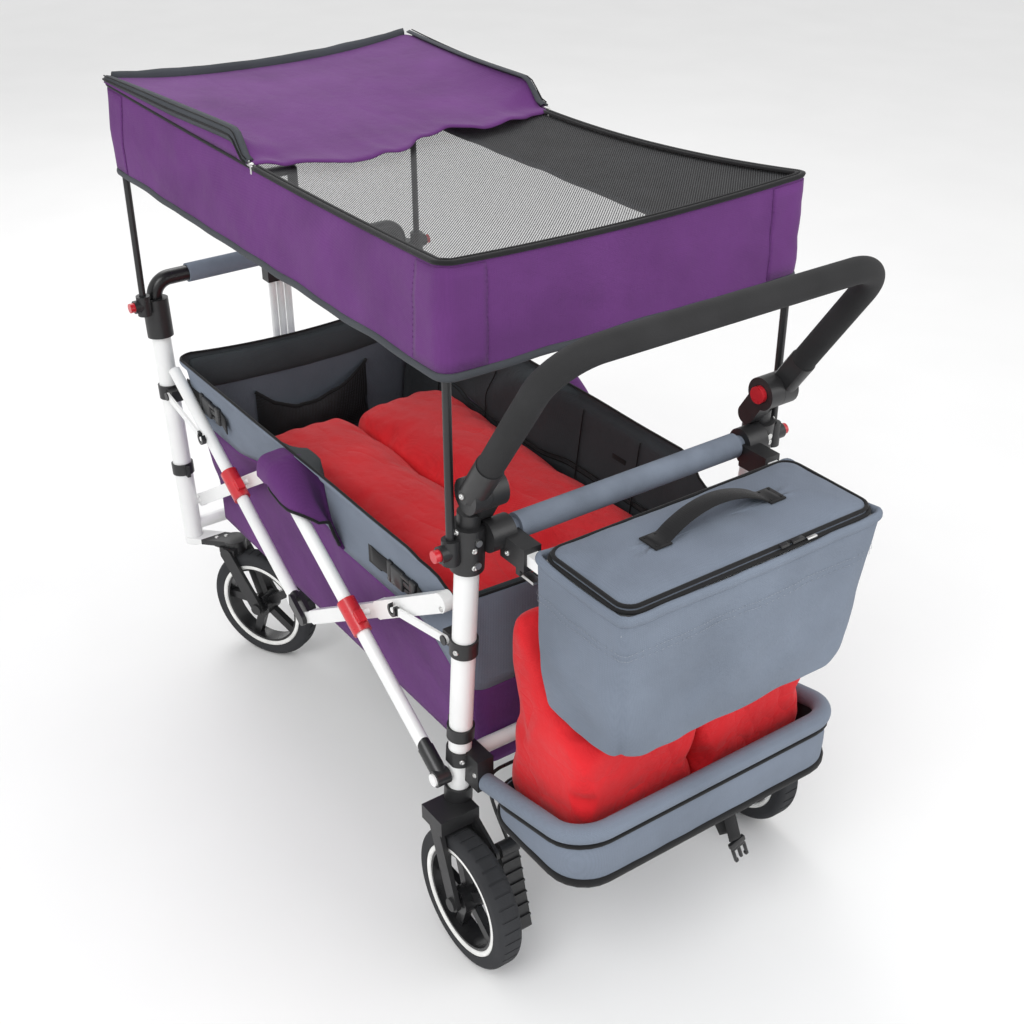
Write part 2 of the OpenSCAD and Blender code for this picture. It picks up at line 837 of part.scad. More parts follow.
// Round bars from the rear lower pivots to the upper middle
module rear_lower_bars() {
    a = [-post_half_x, outer_y, pivot_z];
    b = [0, outer_y, upper_z];
    color("white") both() {
        difference() {
            union() {
                rod(a, b, bar_r);
                rod(a, a + (b - a) * (cap_len / bar_len), bar_r + cap_grow);
                pin_y(a.x, a.z, outer_y - bar_r, outer_y + bar_r + cap_grow, eye_r);
                pin_y(b.x, b.z, outer_y - bar_r, outer_y + bar_r, eye_r);
            }
            pin_y(a.x, a.z, outer_y - eye_r - cut, outer_y + eye_r + cut, pivot_r + run);
        }
        pin_y(b.x, b.z, flat_b_in - gap, outer_y, cross_pin_r);
        pin_y(b.x, b.z, flat_b_in - gap - flap_t / 2, flat_b_in - gap, eye_r - pivot_head_t);
        pin_y(-cross_x, cross_z, mid_y - flat_d_t / 2 - gap, outer_y, cross_pin_r);
        pin_y(-cross_x, cross_z, mid_y - flat_d_t / 2 - gap - pivot_head_t, mid_y - flat_d_t / 2 - gap,
            pivot_head_r);
    }
}

// Red locks on the rear crossings
module rear_clips() {
    color("#cf1f2e") both() cross_clip([-cross_x, outer_y, cross_z], [0, outer_y, upper_z]);
}
module cross_clip(c, b) {
    h = norm(b - c);
    a1 = c - (b - c) * (clip_len / 2 / h);
    a2 = c + (b - c) * (clip_len / 2 / h);
    difference() {
        union() {
            rod(a1, a2, bar_r + clip_wall);
            along(c, b) translate([-bar_r - clip_wall - tab_h, -tab_w / 2, -tab_len])
                cube([tab_h + clip_wall, tab_w, tab_len]);
            along(c, b) translate([bar_r, -tab_w / 2, 0]) cube([tab_h + clip_wall, tab_w, tab_len]);
        }
        rod(a1 - (a2 - a1), a2 + (a2 - a1), bar_r + seat);
        pin_y(c.x, c.z, 0, c.y, cross_pin_r + seat);
    }
}

// Flat bars from the bottom middle up to the rear posts
module rear_upper_bars() {
    color("white") both() difference() {
        union() {
            flat_bar(-main_start * cos(bar_angle), pivot_z + main_start * sin(bar_angle),
                -end_x + flat_h / 2, end_z - flat_h / 2 * tan(bar_angle),
                mid_y - flat_d_t / 2, mid_y + flat_d_t / 2, flat_h);
            flat_bar(0, pivot_z, -tongue_len * cos(bar_angle), pivot_z + tongue_len * sin(bar_angle),
                mid_y - tongue_t / 2, mid_y + tongue_t / 2, tongue_h);
            flat_bar(-sleeve_start_x, pivot_z + bar_rise * sleeve_start_x / post_half_x,
                -end_x + flat_h / 2, end_z - flat_h / 2 * tan(bar_angle),
                mid_y - (flat_d_t + sleeve_grow_t) / 2, mid_y + (flat_d_t + sleeve_grow_t) / 2,
                    flat_h + sleeve_grow_h);
            pin_y(-strut_catch_x, catch_z, mid_y, catch_y0 + catch_t - cut, strut_pin_r);
        }
        pin_y(0, pivot_z, mid_y - tongue_t, mid_y + tongue_t, mid_pin_r + gap);
        pin_y(-cross_x, cross_z, mid_y - flat_d_t, mid_y + flat_d_t, cross_pin_r + run);
    }
}

// Flat bars from the front lower pivots to the upper middle
module front_lower_bars() {
    color("white") both() difference() {
        union() {
            flat_bar(post_half_x, pivot_z, 0, upper_z, flat_b_in, flat_b_out, flat_h, eye_r, eye_r);
        }
        pin_y(post_half_x, pivot_z, flat_b_in - cut, flat_b_out + cut, pivot_r + run);
        pin_y(0, upper_z, flat_b_in - cut, flat_b_out + cut, cross_pin_r + run);
        pin_y(cross_x, cross_z, flat_b_in - cut, flat_b_out + cut, cross_pin_r + run);
    }
}

// Round bars from the bottom middle up to the front posts
module front_upper_bars() {
    m = [0, mid_y, pivot_z];
    u = [cos(bar_angle), 0, sin(bar_angle)];
    color("white") both() {
        rod(m + u * tube_start, [end_x, mid_y, end_z], bar_r);
        for (y = [mid_y - fork_gap / 2 - fork_cheek_t, mid_y + fork_gap / 2])
            flat_bar(0, pivot_z, fork_len * cos(bar_angle), pivot_z + fork_len * sin(bar_angle), y,
                y + fork_cheek_t, fork_h);
        pin_y(0, pivot_z, mid_y - fork_gap, mid_y + fork_gap, mid_pin_r);
        pin_y(cross_x, cross_z, flat_b_in - gap, mid_y, cross_pin_r);
        pin_y(cross_x, cross_z, flat_b_in - gap - flap_t / 2, flat_b_in - gap, eye_r - pivot_head_t);
        pin_y(strut_catch_x, catch_z, mid_y, catch_y0 + catch_t - cut, strut_pin_r);
    }
}

// Red locks on the front crossings
module front_clips() {
    color("#cf1f2e") both() cross_clip([cross_x, mid_y, cross_z], [end_x, mid_y, end_z]);
}

// Thin struts with snap catches that lock the frame open
module strut(s) {
    difference() {
        union() {
            flat_bar(s * strut_x, strut_z, s * (strut_catch_x + catch_r),
                catch_z + catch_r * (strut_z - catch_z) / (strut_x - strut_catch_x),
                strut_y0, strut_y0 + strut_t, strut_h);
            pin_y(s * strut_catch_x, catch_z, catch_y0, catch_y0 + catch_t, catch_r);
        }
        pin_y(s * strut_x, strut_z, strut_y0 - cut, strut_y0 + strut_t + cut, strut_pin_r + run);
        pin_y(s * strut_catch_x, catch_z, catch_y0 - cut, catch_y0 + catch_t + cut, catch_bore);
        box(s * strut_catch_x - catch_bore, s * strut_catch_x + catch_bore, catch_y0 - cut,
            catch_y0 + catch_t + cut, catch_z, catch_z + 2 * catch_r);
    }
}
module rear_struts() {
    color("white") both() strut(-1);
}
module front_struts() {
    color("white") both() strut(1);
}

// White steel tubes of the front frame with the caster plates
module front_frame_tubes() {
    d = [swivel_x - post_x(plate_low), swivel_y - post_half_y];
    color("white") both() {
        difference() {
            union() {
                post_tube(true, front_post_low, front_post_top, post_r);
                rod([front_cross_x, 0, pull_z], [front_cross_x, post_half_y, pull_z], cross_r);
                translate([swivel_x, swivel_y, plate_low]) cylinder(h = plate_t, r = plate_r);
                translate([post_x(plate_low), post_half_y, plate_low])
                    cylinder(h = plate_t, r = plate_w / 2);
                translate([post_x(plate_low), post_half_y, plate_low]) rotate([0, 0, atan2(d.y, d.x)])
                    translate([0, -plate_w / 2, 0])
                    cube([norm(d), plate_w, plate_t]);
            }
            post_tube(true, front_post_low - cut, front_post_top + cut, post_r - post_wall);
        }
        translate([swivel_x, swivel_y, yoke_low]) cylinder(h = plate_low - yoke_low + cut,
            r = swivel_pin_r);
        pin_y(post_half_x, pivot_z, flat_b_in - gap, post_half_y, pivot_r);
        pin_y(post_half_x, pivot_z, flat_b_in - gap - pivot_head_t, flat_b_in - gap, pivot_head_r);
    }
}

// Black castings on the front posts with strut lugs and parking clips
module front_castings() {
    color("#1c1c1e") both() {
        difference() {
            union() {
                post_tube(true, front_cast_low, front_cast_top, cast_r);
                pole_socket(front_pole_x, front_socket_rise);
            }
            post_tube(true, front_cast_low - cut, front_post_top + seat, post_r + seat);
            socket_bores(front_pole_x, front_socket_rise);
        }
        post_collar(true, strut_z - collar_h / 2, strut_z + collar_h / 2);
        strut_lug(1);
        post_collar(true, park_z, park_z + park_h);
        park_clip(1);
    }
}

// Black bent bar over the front castings
module front_bar() {
    x = post_x(front_cast_top);
    z = front_bar_base;
    color("#18181a") both() {
        translate([x, post_half_y - front_bar_bend, z]) rotate([90, 0, 90]) rotate_extrude(angle = 90)
            translate([front_bar_bend, 0]) circle(front_bar_r);
        rod([x, front_sleeve_end, z + front_bar_bend], [x, post_half_y - front_bar_bend,
            z + front_bar_bend], front_bar_r);
        rod([x, 0, z + front_bar_bend], [x, front_sleeve_end, z + front_bar_bend], cross_r);
    }
}

// Grey padding on the front bar
module front_bar_sleeve() {
    x = post_x(front_cast_top);
    z = front_bar_base + front_bar_bend;
    color("#6c7478") both() difference() {
        rod([x, bar_clip_half + gap, z], [x, front_sleeve_end - seat, z], front_sleeve_r);
        rod([x, 0, z], [x, front_sleeve_end + cut, z], cross_r + seat);
    }
}

// Black pivot mount of the pull handle and its clip on the front bar
module pull_mount() {
    x = post_x(front_cast_top);
    z = front_bar_base + front_bar_bend;
    color("#1b1b1d") {
        both() {
            difference() {
                union() {
                    pin_y(front_cross_x, pull_z, mount_cheek_in, mount_cheek_out, mount_r);
                    box(front_cross_x, pull_x, mount_cheek_in, mount_cheek_out, pull_z - mount_h / 2,
                        pull_z + mount_h / 2);
                    pin_y(pull_x, pull_z, mount_cheek_in, mount_cheek_out, mount_h / 2);
                }
                pin_y(front_cross_x, pull_z, 0, mount_cheek_out + cut, cross_r + seat);
            }
            pin_y(pull_x, pull_z, 0, mount_cheek_out, pull_pin_r);
        }
        difference() {
            union() {
                pin_y(x, z, -bar_clip_half, bar_clip_half, front_sleeve_r + bar_clip_grow);
                box(x, rail_x + rod_r + bar_clip_len, -bar_clip_half, bar_clip_half, z - bar_clip_len,
                    z + bar_clip_len);
            }
            pin_y(x, z, -bar_clip_half - cut, bar_clip_half + cut, cross_r + seat);
            box(rail_x - rod_r - gap, rail_x + bar_clip_len * 2, -rod_r - gap, rod_r + gap,
                z - 2 * bar_clip_len, z + 2 * bar_clip_len);
        }
    }
}

// White three-rail stem of the pull handle
module pull_stem() {
    color("white") {
        difference() {
            union() {
                for (y = [-rail_pitch, 0, rail_pitch]) translate([rail_x, y, foot_low])
                    cylinder(h = rail_top - foot_low, r = rail_r);
                box(rail_x - foot_t / 2, rail_x + foot_t / 2, -foot_half_y, foot_half_y, foot_low,
                    foot_low + foot_h);
                box(pull_x - pull_eye_r, rail_x, -foot_half_y, foot_half_y, foot_low + gap,
                    foot_low + foot_h);
                pin_y(pull_x, pull_z, -pull_eye_half, pull_eye_half, pull_eye_r);
            }
            pin_y(pull_x, pull_z, -pull_eye_half - cut, pull_eye_half + cut, pull_pin_r + run);
            translate([rail_x, 0, rod_low - cut]) cylinder(h = rail_top - rod_low + 2 * cut,
                r = rod_r + run);
        }
    }
}

// Black collar at the top of the rails
module pull_collar() {
    color("#1b1b1d") difference() {
        box(rail_x - collar_t / 2, rail_x + collar_t / 2, -collar_half_y, collar_half_y, rail_top + seat,
            rail_top + collar_len);
        translate([rail_x, 0, rail_top - cut]) cylinder(h = collar_len + 2 * cut, r = rod_r + run);
    }
}

// Sliding rod with the black loop grip
module pull_grip() {
    color("#151516") {
        translate([rail_x, 0, rod_low]) cylinder(h = loop_z - rod_low, r = rod_r);
        for (z = [loop_z, loop_z + loop_h]) {
            rod([rail_x, -loop_half_y, z], [rail_x, loop_half_y, z], loop_r);
            for (y = [-loop_half_y, loop_half_y]) translate([rail_x, y, z]) sphere(loop_r);
        }
        for (y = [-loop_half_y, loop_half_y]) rod([rail_x, y, loop_z], [rail_x, y, loop_z + loop_h],
            loop_r);
    }
}

// Front caster yokes
module caster_place(s) {
    translate([swivel_x, s * swivel_y, 0]) rotate([0, 0, caster_turn]) children();
}
module caster_yoke(s) {
    leg_y = front_tyre_w / 2 + yoke_leg_gap;
    color("#1a1a1b") caster_place(s) {
        difference() {
            union() {
                translate([0, 0, yoke_low]) cylinder(h = plate_low - yoke_low - gap, r = yoke_r);
                box(-yoke_bridge, yoke_bridge, -leg_y - yoke_leg_t / 2, leg_y + yoke_leg_t / 2, yoke_low,
                    plate_low - gap);
            }
            translate([0, 0, yoke_low - cut]) cylinder(h = plate_low - yoke_low + 2 * cut,
                r = swivel_pin_r + run);
        }
        for (y = [-leg_y - yoke_leg_t, leg_y])
            flat_bar(0, plate_low - gap - yoke_leg_w / 2, -trail, wheel_r, y, y + yoke_leg_t, yoke_leg_w);
        pin_y(-trail, wheel_r, -leg_y - yoke_leg_t / 2, leg_y + yoke_leg_t / 2, axle_r);
        for (y = [-leg_y - yoke_leg_t - axle_head_t, leg_y + yoke_leg_t - cut])
            pin_y(-trail, wheel_r, y, y + axle_head_t + cut, axle_head_r);
        for (y = [-lock_w / 2 - gap - lock_ear, lock_w / 2 + gap])
            box(yoke_bridge, yoke_r + lock_len - gap, y, y + lock_ear, yoke_low, yoke_low + lock_t);
    }
}
module caster_yoke_left() { caster_yoke(1); }
module caster_yoke_right() { caster_yoke(-1); }

// Red swivel locks
module swivel_lock(s) {
    color("#cf1f2e") caster_place(s) difference() {
        union() {
            box(yoke_bridge, yoke_r + lock_len, -lock_w / 2, lock_w / 2, yoke_low, yoke_low + lock_t);
            translate([yoke_r + lock_len, 0, yoke_low]) cylinder(h = lock_t, r = lock_w / 2);
        }
        translate([0, 0, yoke_low - cut]) cylinder(h = lock_t + 2 * cut, r = yoke_r + gap);
    }
}
module swivel_lock_left() { swivel_lock(1); }
module swivel_lock_right() { swivel_lock(-1); }

// Five-spoke rims and tyres
module rim(w) {
    difference() {
        union() {
            rotate_extrude() {
                translate([rim_in_r, -w / 2 + rim_lip]) square([rim_out_r - rim_in_r, w - 2 * rim_lip]);
                translate([0, -w / 2 - hub_w_extra / 2]) square([wheel_hub_r, w + hub_w_extra]);
            }
            for (i = [0 : spoke_n - 1]) rotate([0, 0, i * 360 / spoke_n])
                translate([wheel_hub_r - cut, -spoke_w / 2, -rim_web_t / 2])
                cube([rim_in_r - wheel_hub_r + 2 * cut, spoke_w, rim_web_t]);
        }
        translate([0, 0, -w]) cylinder(h = 2 * w, r = axle_r + run);
    }
}
module tyre(w) {
    inner = rim_out_r + seat;
    difference() {
        rotate_extrude() {
            translate([inner, -w / 2]) square([wheel_r - inner - tyre_round, w]);
            translate([inner, -w / 2 + tyre_round]) square([wheel_r - inner, w - 2 * tyre_round]);
            for (z = [-w / 2 + tyre_round, w / 2 - tyre_round]) translate([wheel_r - tyre_round, z])
                circle(tyre_round);
        }
        for (i = [0 : tread_n - 1]) rotate([0, 0, i * 360 / tread_n])
            translate([wheel_r - tread_depth, -tread_w / 2, -w])
            cube([tread_depth + cut, tread_w, 2 * w]);
    }
}
module rear_wheel_place(s) {
    translate([-rear_axle_x, s * rear_wheel_y, wheel_r]) rotate([90, 0, 0]) children();
}
module front_wheel_place(s) {
    caster_place(s) translate([-trail, 0, wheel_r]) rotate([90, 0, 0]) children();
}
module rear_rim_left() { color("#161617") rear_wheel_place(1) rim(rear_tyre_w); }
module rear_rim_right() { color("#161617") rear_wheel_place(-1) rim(rear_tyre_w); }
module rear_tyre_left() { color("#2a2b2d") rear_wheel_place(1) tyre(rear_tyre_w); }
module rear_tyre_right() { color("#2a2b2d") rear_wheel_place(-1) tyre(rear_tyre_w); }
module front_rim_left() { color("#161617") front_wheel_place(1) rim(front_tyre_w); }
module front_rim_right() { color("#161617") front_wheel_place(-1) rim(front_tyre_w); }
module front_tyre_left() { color("#2a2b2d") front_wheel_place(1) tyre(front_tyre_w); }
module front_tyre_right() { color("#2a2b2d") front_wheel_place(-1) tyre(front_tyre_w); }

// Roof cloth hanging between the poles
module hung_strip(x0, x1, half, z0, z1) {
    rotate([90, 0, 0]) translate([0, 0, -half]) linear_extrude(2 * half)
        polygon(concat(hang_line(x0, x1, z0), hang_line(x1, x0, z1)));
}

// Cloth band round the canopy
module canopy_valance() {
    color("#5b2a6e") difference() {
        rotate([90, 0, 0]) translate([0, 0, -canopy_half_y]) linear_extrude(2 * canopy_half_y)
            polygon(concat([[-canopy_back, canopy_top - valance_h], [canopy_front, canopy_top - valance_h]],
                hang_line(canopy_front, -canopy_back, canopy_top)));
        box(-canopy_back + canopy_wall, canopy_front - canopy_wall, -canopy_half_y + canopy_wall,
            canopy_half_y - canopy_wall,
            canopy_top - valance_h - cut, canopy_top + cut);
    }
}

// See-through mesh of the roof
module canopy_mesh() {
    color("#202224") hung_strip(-canopy_back + canopy_wall + seat, mesh_front_x,
        canopy_half_y - canopy_wall - seat, canopy_top - mesh_drop - mesh_t, canopy_top - mesh_drop);
}

// Cloth front panel of the roof with its folded-back edge
module canopy_panel() {
    low = canopy_top - mesh_drop - mesh_t;
    half = canopy_half_y - canopy_wall - seat;
    roll_x = mesh_front_x + panel_roll_r + seat;
    roll_z = low + panel_roll_r + panel_t / 2 - canopy_sink(roll_x);
    color("#5b2a6e") {
        hung_strip(mesh_front_x + seat, canopy_front - canopy_wall - seat, half, low, low + panel_t);
        rod([roll_x, -half + seat, roll_z], [roll_x, half - seat, roll_z], panel_roll_r);
    }
}

// Canopy poles
module rear_poles() {
    color("#121213") both() translate([-rear_pole_x, pole_y, socket_floor + pole_low_gap])
        cylinder(h = canopy_top - mesh_drop - mesh_t - pole_low_gap - socket_floor - pole_low_gap,
            r = pole_r);
}
module front_poles() {
    color("#121213") both() translate([front_pole_x, pole_y,
        socket_floor + front_socket_rise + pole_low_gap])
        cylinder(h = canopy_top - mesh_drop - mesh_t - 2 * pole_low_gap - socket_floor
            - front_socket_rise, r = pole_r);
}

// Red pole buttons
module pole_button(x, s, rise) {
    color("#cf1f2e") on_side(s) pin_y(x, button_z + rise, button_start, button_end, button_r);
}
module pole_button_rear_left() { pole_button(-rear_pole_x, 1, 0); }
module pole_button_rear_right() { pole_button(-rear_pole_x, -1, 0); }
module pole_button_front_left() { pole_button(front_pole_x, 1, front_socket_rise); }
module pole_button_front_right() { pole_button(front_pole_x, -1, front_socket_rise); }

// Foam-covered push handle
module handle_tube() {
    color("#141415") rearward([-hub_x, 0, hub_z], handle_angle)
        bent_tube(sleeve_len + seat, handle_reach, arm_mid_y, handle_bend, grip_r);
}

// Plastic ends of the push handle with the moving halves of its pivots
module handle_sleeves() {
    color("#1a1a1b") both() difference() {
        union() {
            pin_y(-hub_x, hub_z, arm_eye_in, arm_eye_out, hub_r);
            rearward([-hub_x, 0, hub_z], handle_angle) intersection() {
                rod([0, arm_mid_y, 0], [sleeve_len, arm_mid_y, 0], sleeve_r);
                box(0, sleeve_len, arm_eye_in, arm_mid_y + sleeve_r, -sleeve_r, sleeve_r);
            }
        }
        pin_y(-hub_x, hub_z, arm_eye_in - cut, arm_eye_out + cut, hub_pin_r + run);
        pin_y(-hub_x, hub_z, arm_eye_out, arm_eye_out + cast_r, hub_head_r + gap);
    }
}

// Red handle buttons
module handle_button(s) {
    color("#cf1f2e") on_side(s) pin_y(-hub_x, hub_z, hub_button_start, hub_button_end, hub_button_r);
}
module handle_button_left() { handle_button(1); }
module handle_button_right() { handle_button(-1); }

// White square tube that carries the cooler bag
module cooler_frame() {
    h = square_w / 2;
    color("white") {
        both() box(-arm_end, -arm_start, arm_y - h, arm_y + h, arm_z - h, arm_z + h);
        box(-arm_end, -arm_end + square_w, -arm_y, arm_y, arm_z - h, arm_z + h);
    }
}

// Grey cooler bag
module cooler_bag() {
    h = square_w / 2 + seat;
    color("#70787c") difference() {
        box(-bag_back, -bag_front, -bag_half_y, bag_half_y, bag_low, bag_rim);
        box(-bag_back + bag_wall, -bag_front - bag_wall, -bag_half_y + bag_wall, bag_half_y - bag_wall,
            bag_low + bag_wall, bag_rim + cut);
        both() box(-bag_front - bag_wall - cut, -bag_front + cut, arm_y - h, arm_y + h, arm_z - h,
            bag_rim + cut);
    }
}

// Padded lid of the cooler bag
module cooler_lid() {
    color("#747c80") {
        box(-bag_back + lid_edge, -bag_front - lid_edge, -bag_half_y + lid_edge, bag_half_y - lid_edge,
            bag_rim + lid_gap, bag_rim + lid_gap + lid_h / 2);
        box(-bag_back + lid_edge * 2, -bag_front - lid_edge * 2, -bag_half_y + lid_edge * 2,
            bag_half_y - lid_edge * 2,
            bag_rim + lid_gap + lid_h / 2, bag_rim + lid_gap + lid_h);
    }
}

// Bright release levers under the bag tube sockets
module cooler_levers() {
    color("silver") both() difference() {
        union() {
            pin_y(-lever_x, lever_z, arm_y - lever_t / 2, arm_y + lever_t / 2, lever_pin_r * 2);
            box(-lever_x - lever_len, -lever_x, arm_y - lever_t / 2, arm_y + lever_t / 2,
                lever_z - lever_h - lever_pin_r, lever_z - lever_pin_r);
        }
        pin_y(-lever_x, lever_z, arm_y - lever_t, arm_y + lever_t, lever_pin_r + run);
    }
}

centred() rear_frame_tubes();
centred() rear_fittings();
centred() rear_bar();
centred() handle_stubs();
centred() rear_forks();
centred() brake_cable();
centred() basket_tube();
centred() basket_fabric();
centred() basket_cushion();
centred() tub_sides();
centred() tub_ends();
centred() tub_floor();
centred() bed_cushion();
centred() frame_screws();
centred() rear_lower_bars();
centred() rear_clips();
centred() rear_upper_bars();
centred() front_lower_bars();
centred() front_upper_bars();
centred() front_clips();
centred() rear_struts();
centred() front_struts();
centred() front_frame_tubes();
centred() front_castings();
centred() front_bar();
centred() front_bar_sleeve();
centred() pull_mount();
centred() caster_yoke_left();
centred() caster_yoke_right();
centred() swivel_lock_left();
centred() swivel_lock_right();
centred() front_rim_left();
centred() front_rim_right();
centred() front_tyre_left();
centred() front_tyre_right();
centred() pull_stem();
centred() pull_collar();
centred() pull_grip();
centred() canopy_valance();
centred() canopy_mesh();
centred() canopy_panel();
centred() rear_poles();
centred() front_poles();
centred() pole_button_rear_left();
centred() pole_button_rear_right();
centred() pole_button_front_left();
centred() pole_button_front_right();
centred() handle_tube();
centred() handle_sleeves();
centred() handle_button_left();
centred() handle_button_right();
centred() cooler_frame();
centred() cooler_bag();
centred() cooler_lid();
centred() cooler_levers();
centred() rear_rim_left();
centred() rear_rim_right();
centred() rear_tyre_left();
centred() rear_tyre_right();
centred() brake_pedals();
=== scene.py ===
import bpy
import bmesh
import math
import numpy as np
from mathutils import Matrix, Vector, noise


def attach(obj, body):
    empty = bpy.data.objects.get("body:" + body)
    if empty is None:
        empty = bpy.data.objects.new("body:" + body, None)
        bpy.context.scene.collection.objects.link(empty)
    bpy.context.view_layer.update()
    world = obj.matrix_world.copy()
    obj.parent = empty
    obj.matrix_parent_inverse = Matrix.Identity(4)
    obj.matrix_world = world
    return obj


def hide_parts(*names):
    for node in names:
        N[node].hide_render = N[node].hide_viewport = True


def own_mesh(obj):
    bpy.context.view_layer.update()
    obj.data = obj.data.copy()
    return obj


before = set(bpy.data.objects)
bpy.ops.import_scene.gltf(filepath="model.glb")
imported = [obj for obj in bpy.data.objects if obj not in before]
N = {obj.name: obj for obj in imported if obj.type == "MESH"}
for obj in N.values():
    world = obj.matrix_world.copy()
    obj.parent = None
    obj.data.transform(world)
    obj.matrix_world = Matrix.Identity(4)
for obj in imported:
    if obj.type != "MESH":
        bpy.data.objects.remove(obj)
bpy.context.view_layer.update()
scene = bpy.context.scene
scene.view_settings.view_transform = "Standard"
MM = 0.001
# Lengths along the wagon are measured from the middle between its posts, this far forward of the origin
SHIFT = 114.75
SIDES = ((1, "left"), (-1, "right"))


def add_object(name, data):
    o = bpy.data.objects.new(name, data)
    scene.collection.objects.link(o)
    return o


# Camera of the photo
camera_data = bpy.data.cameras.new("camera")
camera_data.lens = 50.27
camera_data.sensor_width = 36.0
camera = add_object("camera", camera_data)
right = Vector((-0.578, -0.816, 0.0)).normalized()
back = Vector((-0.702, 0.497, 0.510)).normalized()
up = back.cross(right).normalized()
right = up.cross(back).normalized()
place = Matrix((right, up, back)).transposed().to_4x4()
place.translation = (-1.711 + SHIFT * MM, 1.0505, 1.5882)
camera.matrix_world = place
camera_data.clip_end = 50
scene.camera = camera


# Materials
def wire(node, key, value):
    """Joins an output to a node's input, or sets the input to a constant."""
    if isinstance(value, bpy.types.NodeSocket):
        node.id_data.links.new(value, node.inputs[key])
    else:
        node.inputs[key].default_value = value


def material(name, colour, rough, metallic=0.0):
    m = bpy.data.materials.new(name)
    m.use_nodes = True
    shader = m.node_tree.nodes["Principled BSDF"]
    wire(shader, "Base Color", (*colour, 1))
    wire(shader, "Roughness", rough)
    wire(shader, "Metallic", metallic)
    m.diffuse_color = (*colour, 1)
    return m, m.node_tree, shader


def coords(tree):
    return tree.nodes.new("ShaderNodeTexCoord").outputs["Object"]


def noise_tex(tree, vector, scale, detail=2.0, rough=0.5):
    n = tree.nodes.new("ShaderNodeTexNoise")
    for key, v in (("Scale", scale), ("Detail", detail), ("Roughness", rough), ("Vector", vector)):
        wire(n, key, v)
    return n.outputs["Fac"]


def math_node(tree, kind, *values, clamp=False):
    n = tree.nodes.new("ShaderNodeMath")
    n.operation = kind
    n.use_clamp = clamp
    for i, v in enumerate(values):
        wire(n, i, v)
    return n.outputs[0]


def ramp(tree, fac, low, high, c0, c1):
    n = tree.nodes.new("ShaderNodeValToRGB")
    for element, place, c in zip(n.color_ramp.elements, (low, high), (c0, c1)):
        element.position = place
        element.color = (*c, 1)
    wire(n, "Fac", fac)
    return n.outputs["Color"]


def mix_colour(tree, fac, a, b, blend="MIX"):
    n = tree.nodes.new("ShaderNodeMix")
    n.data_type = "RGBA"
    n.blend_type = blend
    for key, v in (("Factor", fac), ("A", a), ("B", b)):
        wire(n, key, v)
    return n.outputs["Result"]


def bump(tree, height, strength, distance, before=None):
    n = tree.nodes.new("ShaderNodeBump")
    wire(n, "Strength", strength)
    wire(n, "Distance", distance)
    wire(n, "Height", height)
    if before is not None:
        wire(n, "Normal", before)
    return n.outputs["Normal"]


def shade(c, k):
    return tuple(min(1.0, v * k) for v in c)


def mottle(tree, field, colour, dark, bright, low=0.3):
    """The colour, darker and brighter in patches."""
    return ramp(tree, field, low, 1 - low, shade(colour, dark), shade(colour, bright))


def scaled(tree, field, k, add):
    return math_node(tree, "ADD", math_node(tree, "MULTIPLY", field, k), add)


def axes(tree, vector):
    n = tree.nodes.new("ShaderNodeSeparateXYZ")
    wire(n, 0, vector)
    return n.outputs


def weave(tree, vector, pitch):
    """Threads over and under, from three crossed waves so that it shows on every side."""
    k = 2 * math.pi / pitch
    x, y, z = [math_node(tree, "SINE", math_node(tree, "MULTIPLY", a, k)) for a in axes(tree, vector)]
    xy, yz, xz = [math_node(tree, "MULTIPLY", a, b) for a, b in ((x, y), (y, z), (x, z))]
    return math_node(tree, "ADD", xy, math_node(tree, "ADD", yz, xz))


def crease_lines(tree, vector, stretch, scale):
    """Soft ridges that run across the cloth, from the middle level of a stretched noise."""
    n = tree.nodes.new("ShaderNodeVectorMath")
    n.operation = "MULTIPLY"
    wire(n, 0, vector)
    wire(n, 1, stretch)
    field = noise_tex(tree, n.outputs[0], scale, 3.0, 0.5)
    away = math_node(tree, "ABSOLUTE", math_node(tree, "SUBTRACT", field, 0.5))
    return math_node(tree, "POWER", math_node(tree, "MULTIPLY", away, 3.0, clamp=True), 0.6)


def fabric(name, colour, rough=0.88, pitch=0.0022, wrinkle=0.25, sheen=0.06, scale=9.0, crease=0.0):
    m, tree, shader = material(name, colour, rough)
    v = coords(tree)
    base = mottle(tree, noise_tex(tree, v, scale, 3.0), colour, 0.82, 1.12, 0.25)
    thread = weave(tree, v, pitch)
    # The grain colour darkens the cloth where the threads dip under: painted shade in the hollows of the weave.
    grain = ramp(tree, scaled(tree, thread, 0.25, 0.5), 0.2, 0.8, (0.86,) * 3, (1.0,) * 3)
    wire(shader, "Base Color", mix_colour(tree, 1.0, base, grain, "MULTIPLY"))
    normal = bump(tree, noise_tex(tree, v, 22.0, 4.0, 0.55), wrinkle, 0.008)
    if crease:
        normal = bump(tree, crease_lines(tree, v, (0.4, 1.0, 0.7), 7.0), crease * 0.8, 0.010, normal)
        normal = bump(tree, crease_lines(tree, v, (0.5, 1.0, 1.0), 15.0), crease * 0.6, 0.006, normal)
    wire(shader, "Normal", bump(tree, thread, 0.25, 0.0006, normal))
    wire(shader, "Sheen Weight", sheen)
    wire(shader, "Sheen Roughness", 0.5)
    wire(shader, "Specular IOR Level", 0.18)
    return m


def plastic(name, colour, rough=0.42, grain=900.0, strength=0.12, coat=0.0):
    m, tree, shader = material(name, colour, rough)
    v = coords(tree)
    wire(shader, "Base Color", mottle(tree, noise_tex(tree, v, 28.0, 4.0), colour, 0.86, 1.18))
    scuff = noise_tex(tree, v, 60.0, 5.0, 0.6)
    wire(shader, "Roughness", scaled(tree, scuff, 0.22, rough - 0.11))
    wire(shader, "Normal", bump(tree, noise_tex(tree, v, grain, 2.0), strength, 0.0004))
    wire(shader, "Coat Weight", coat)
    return m


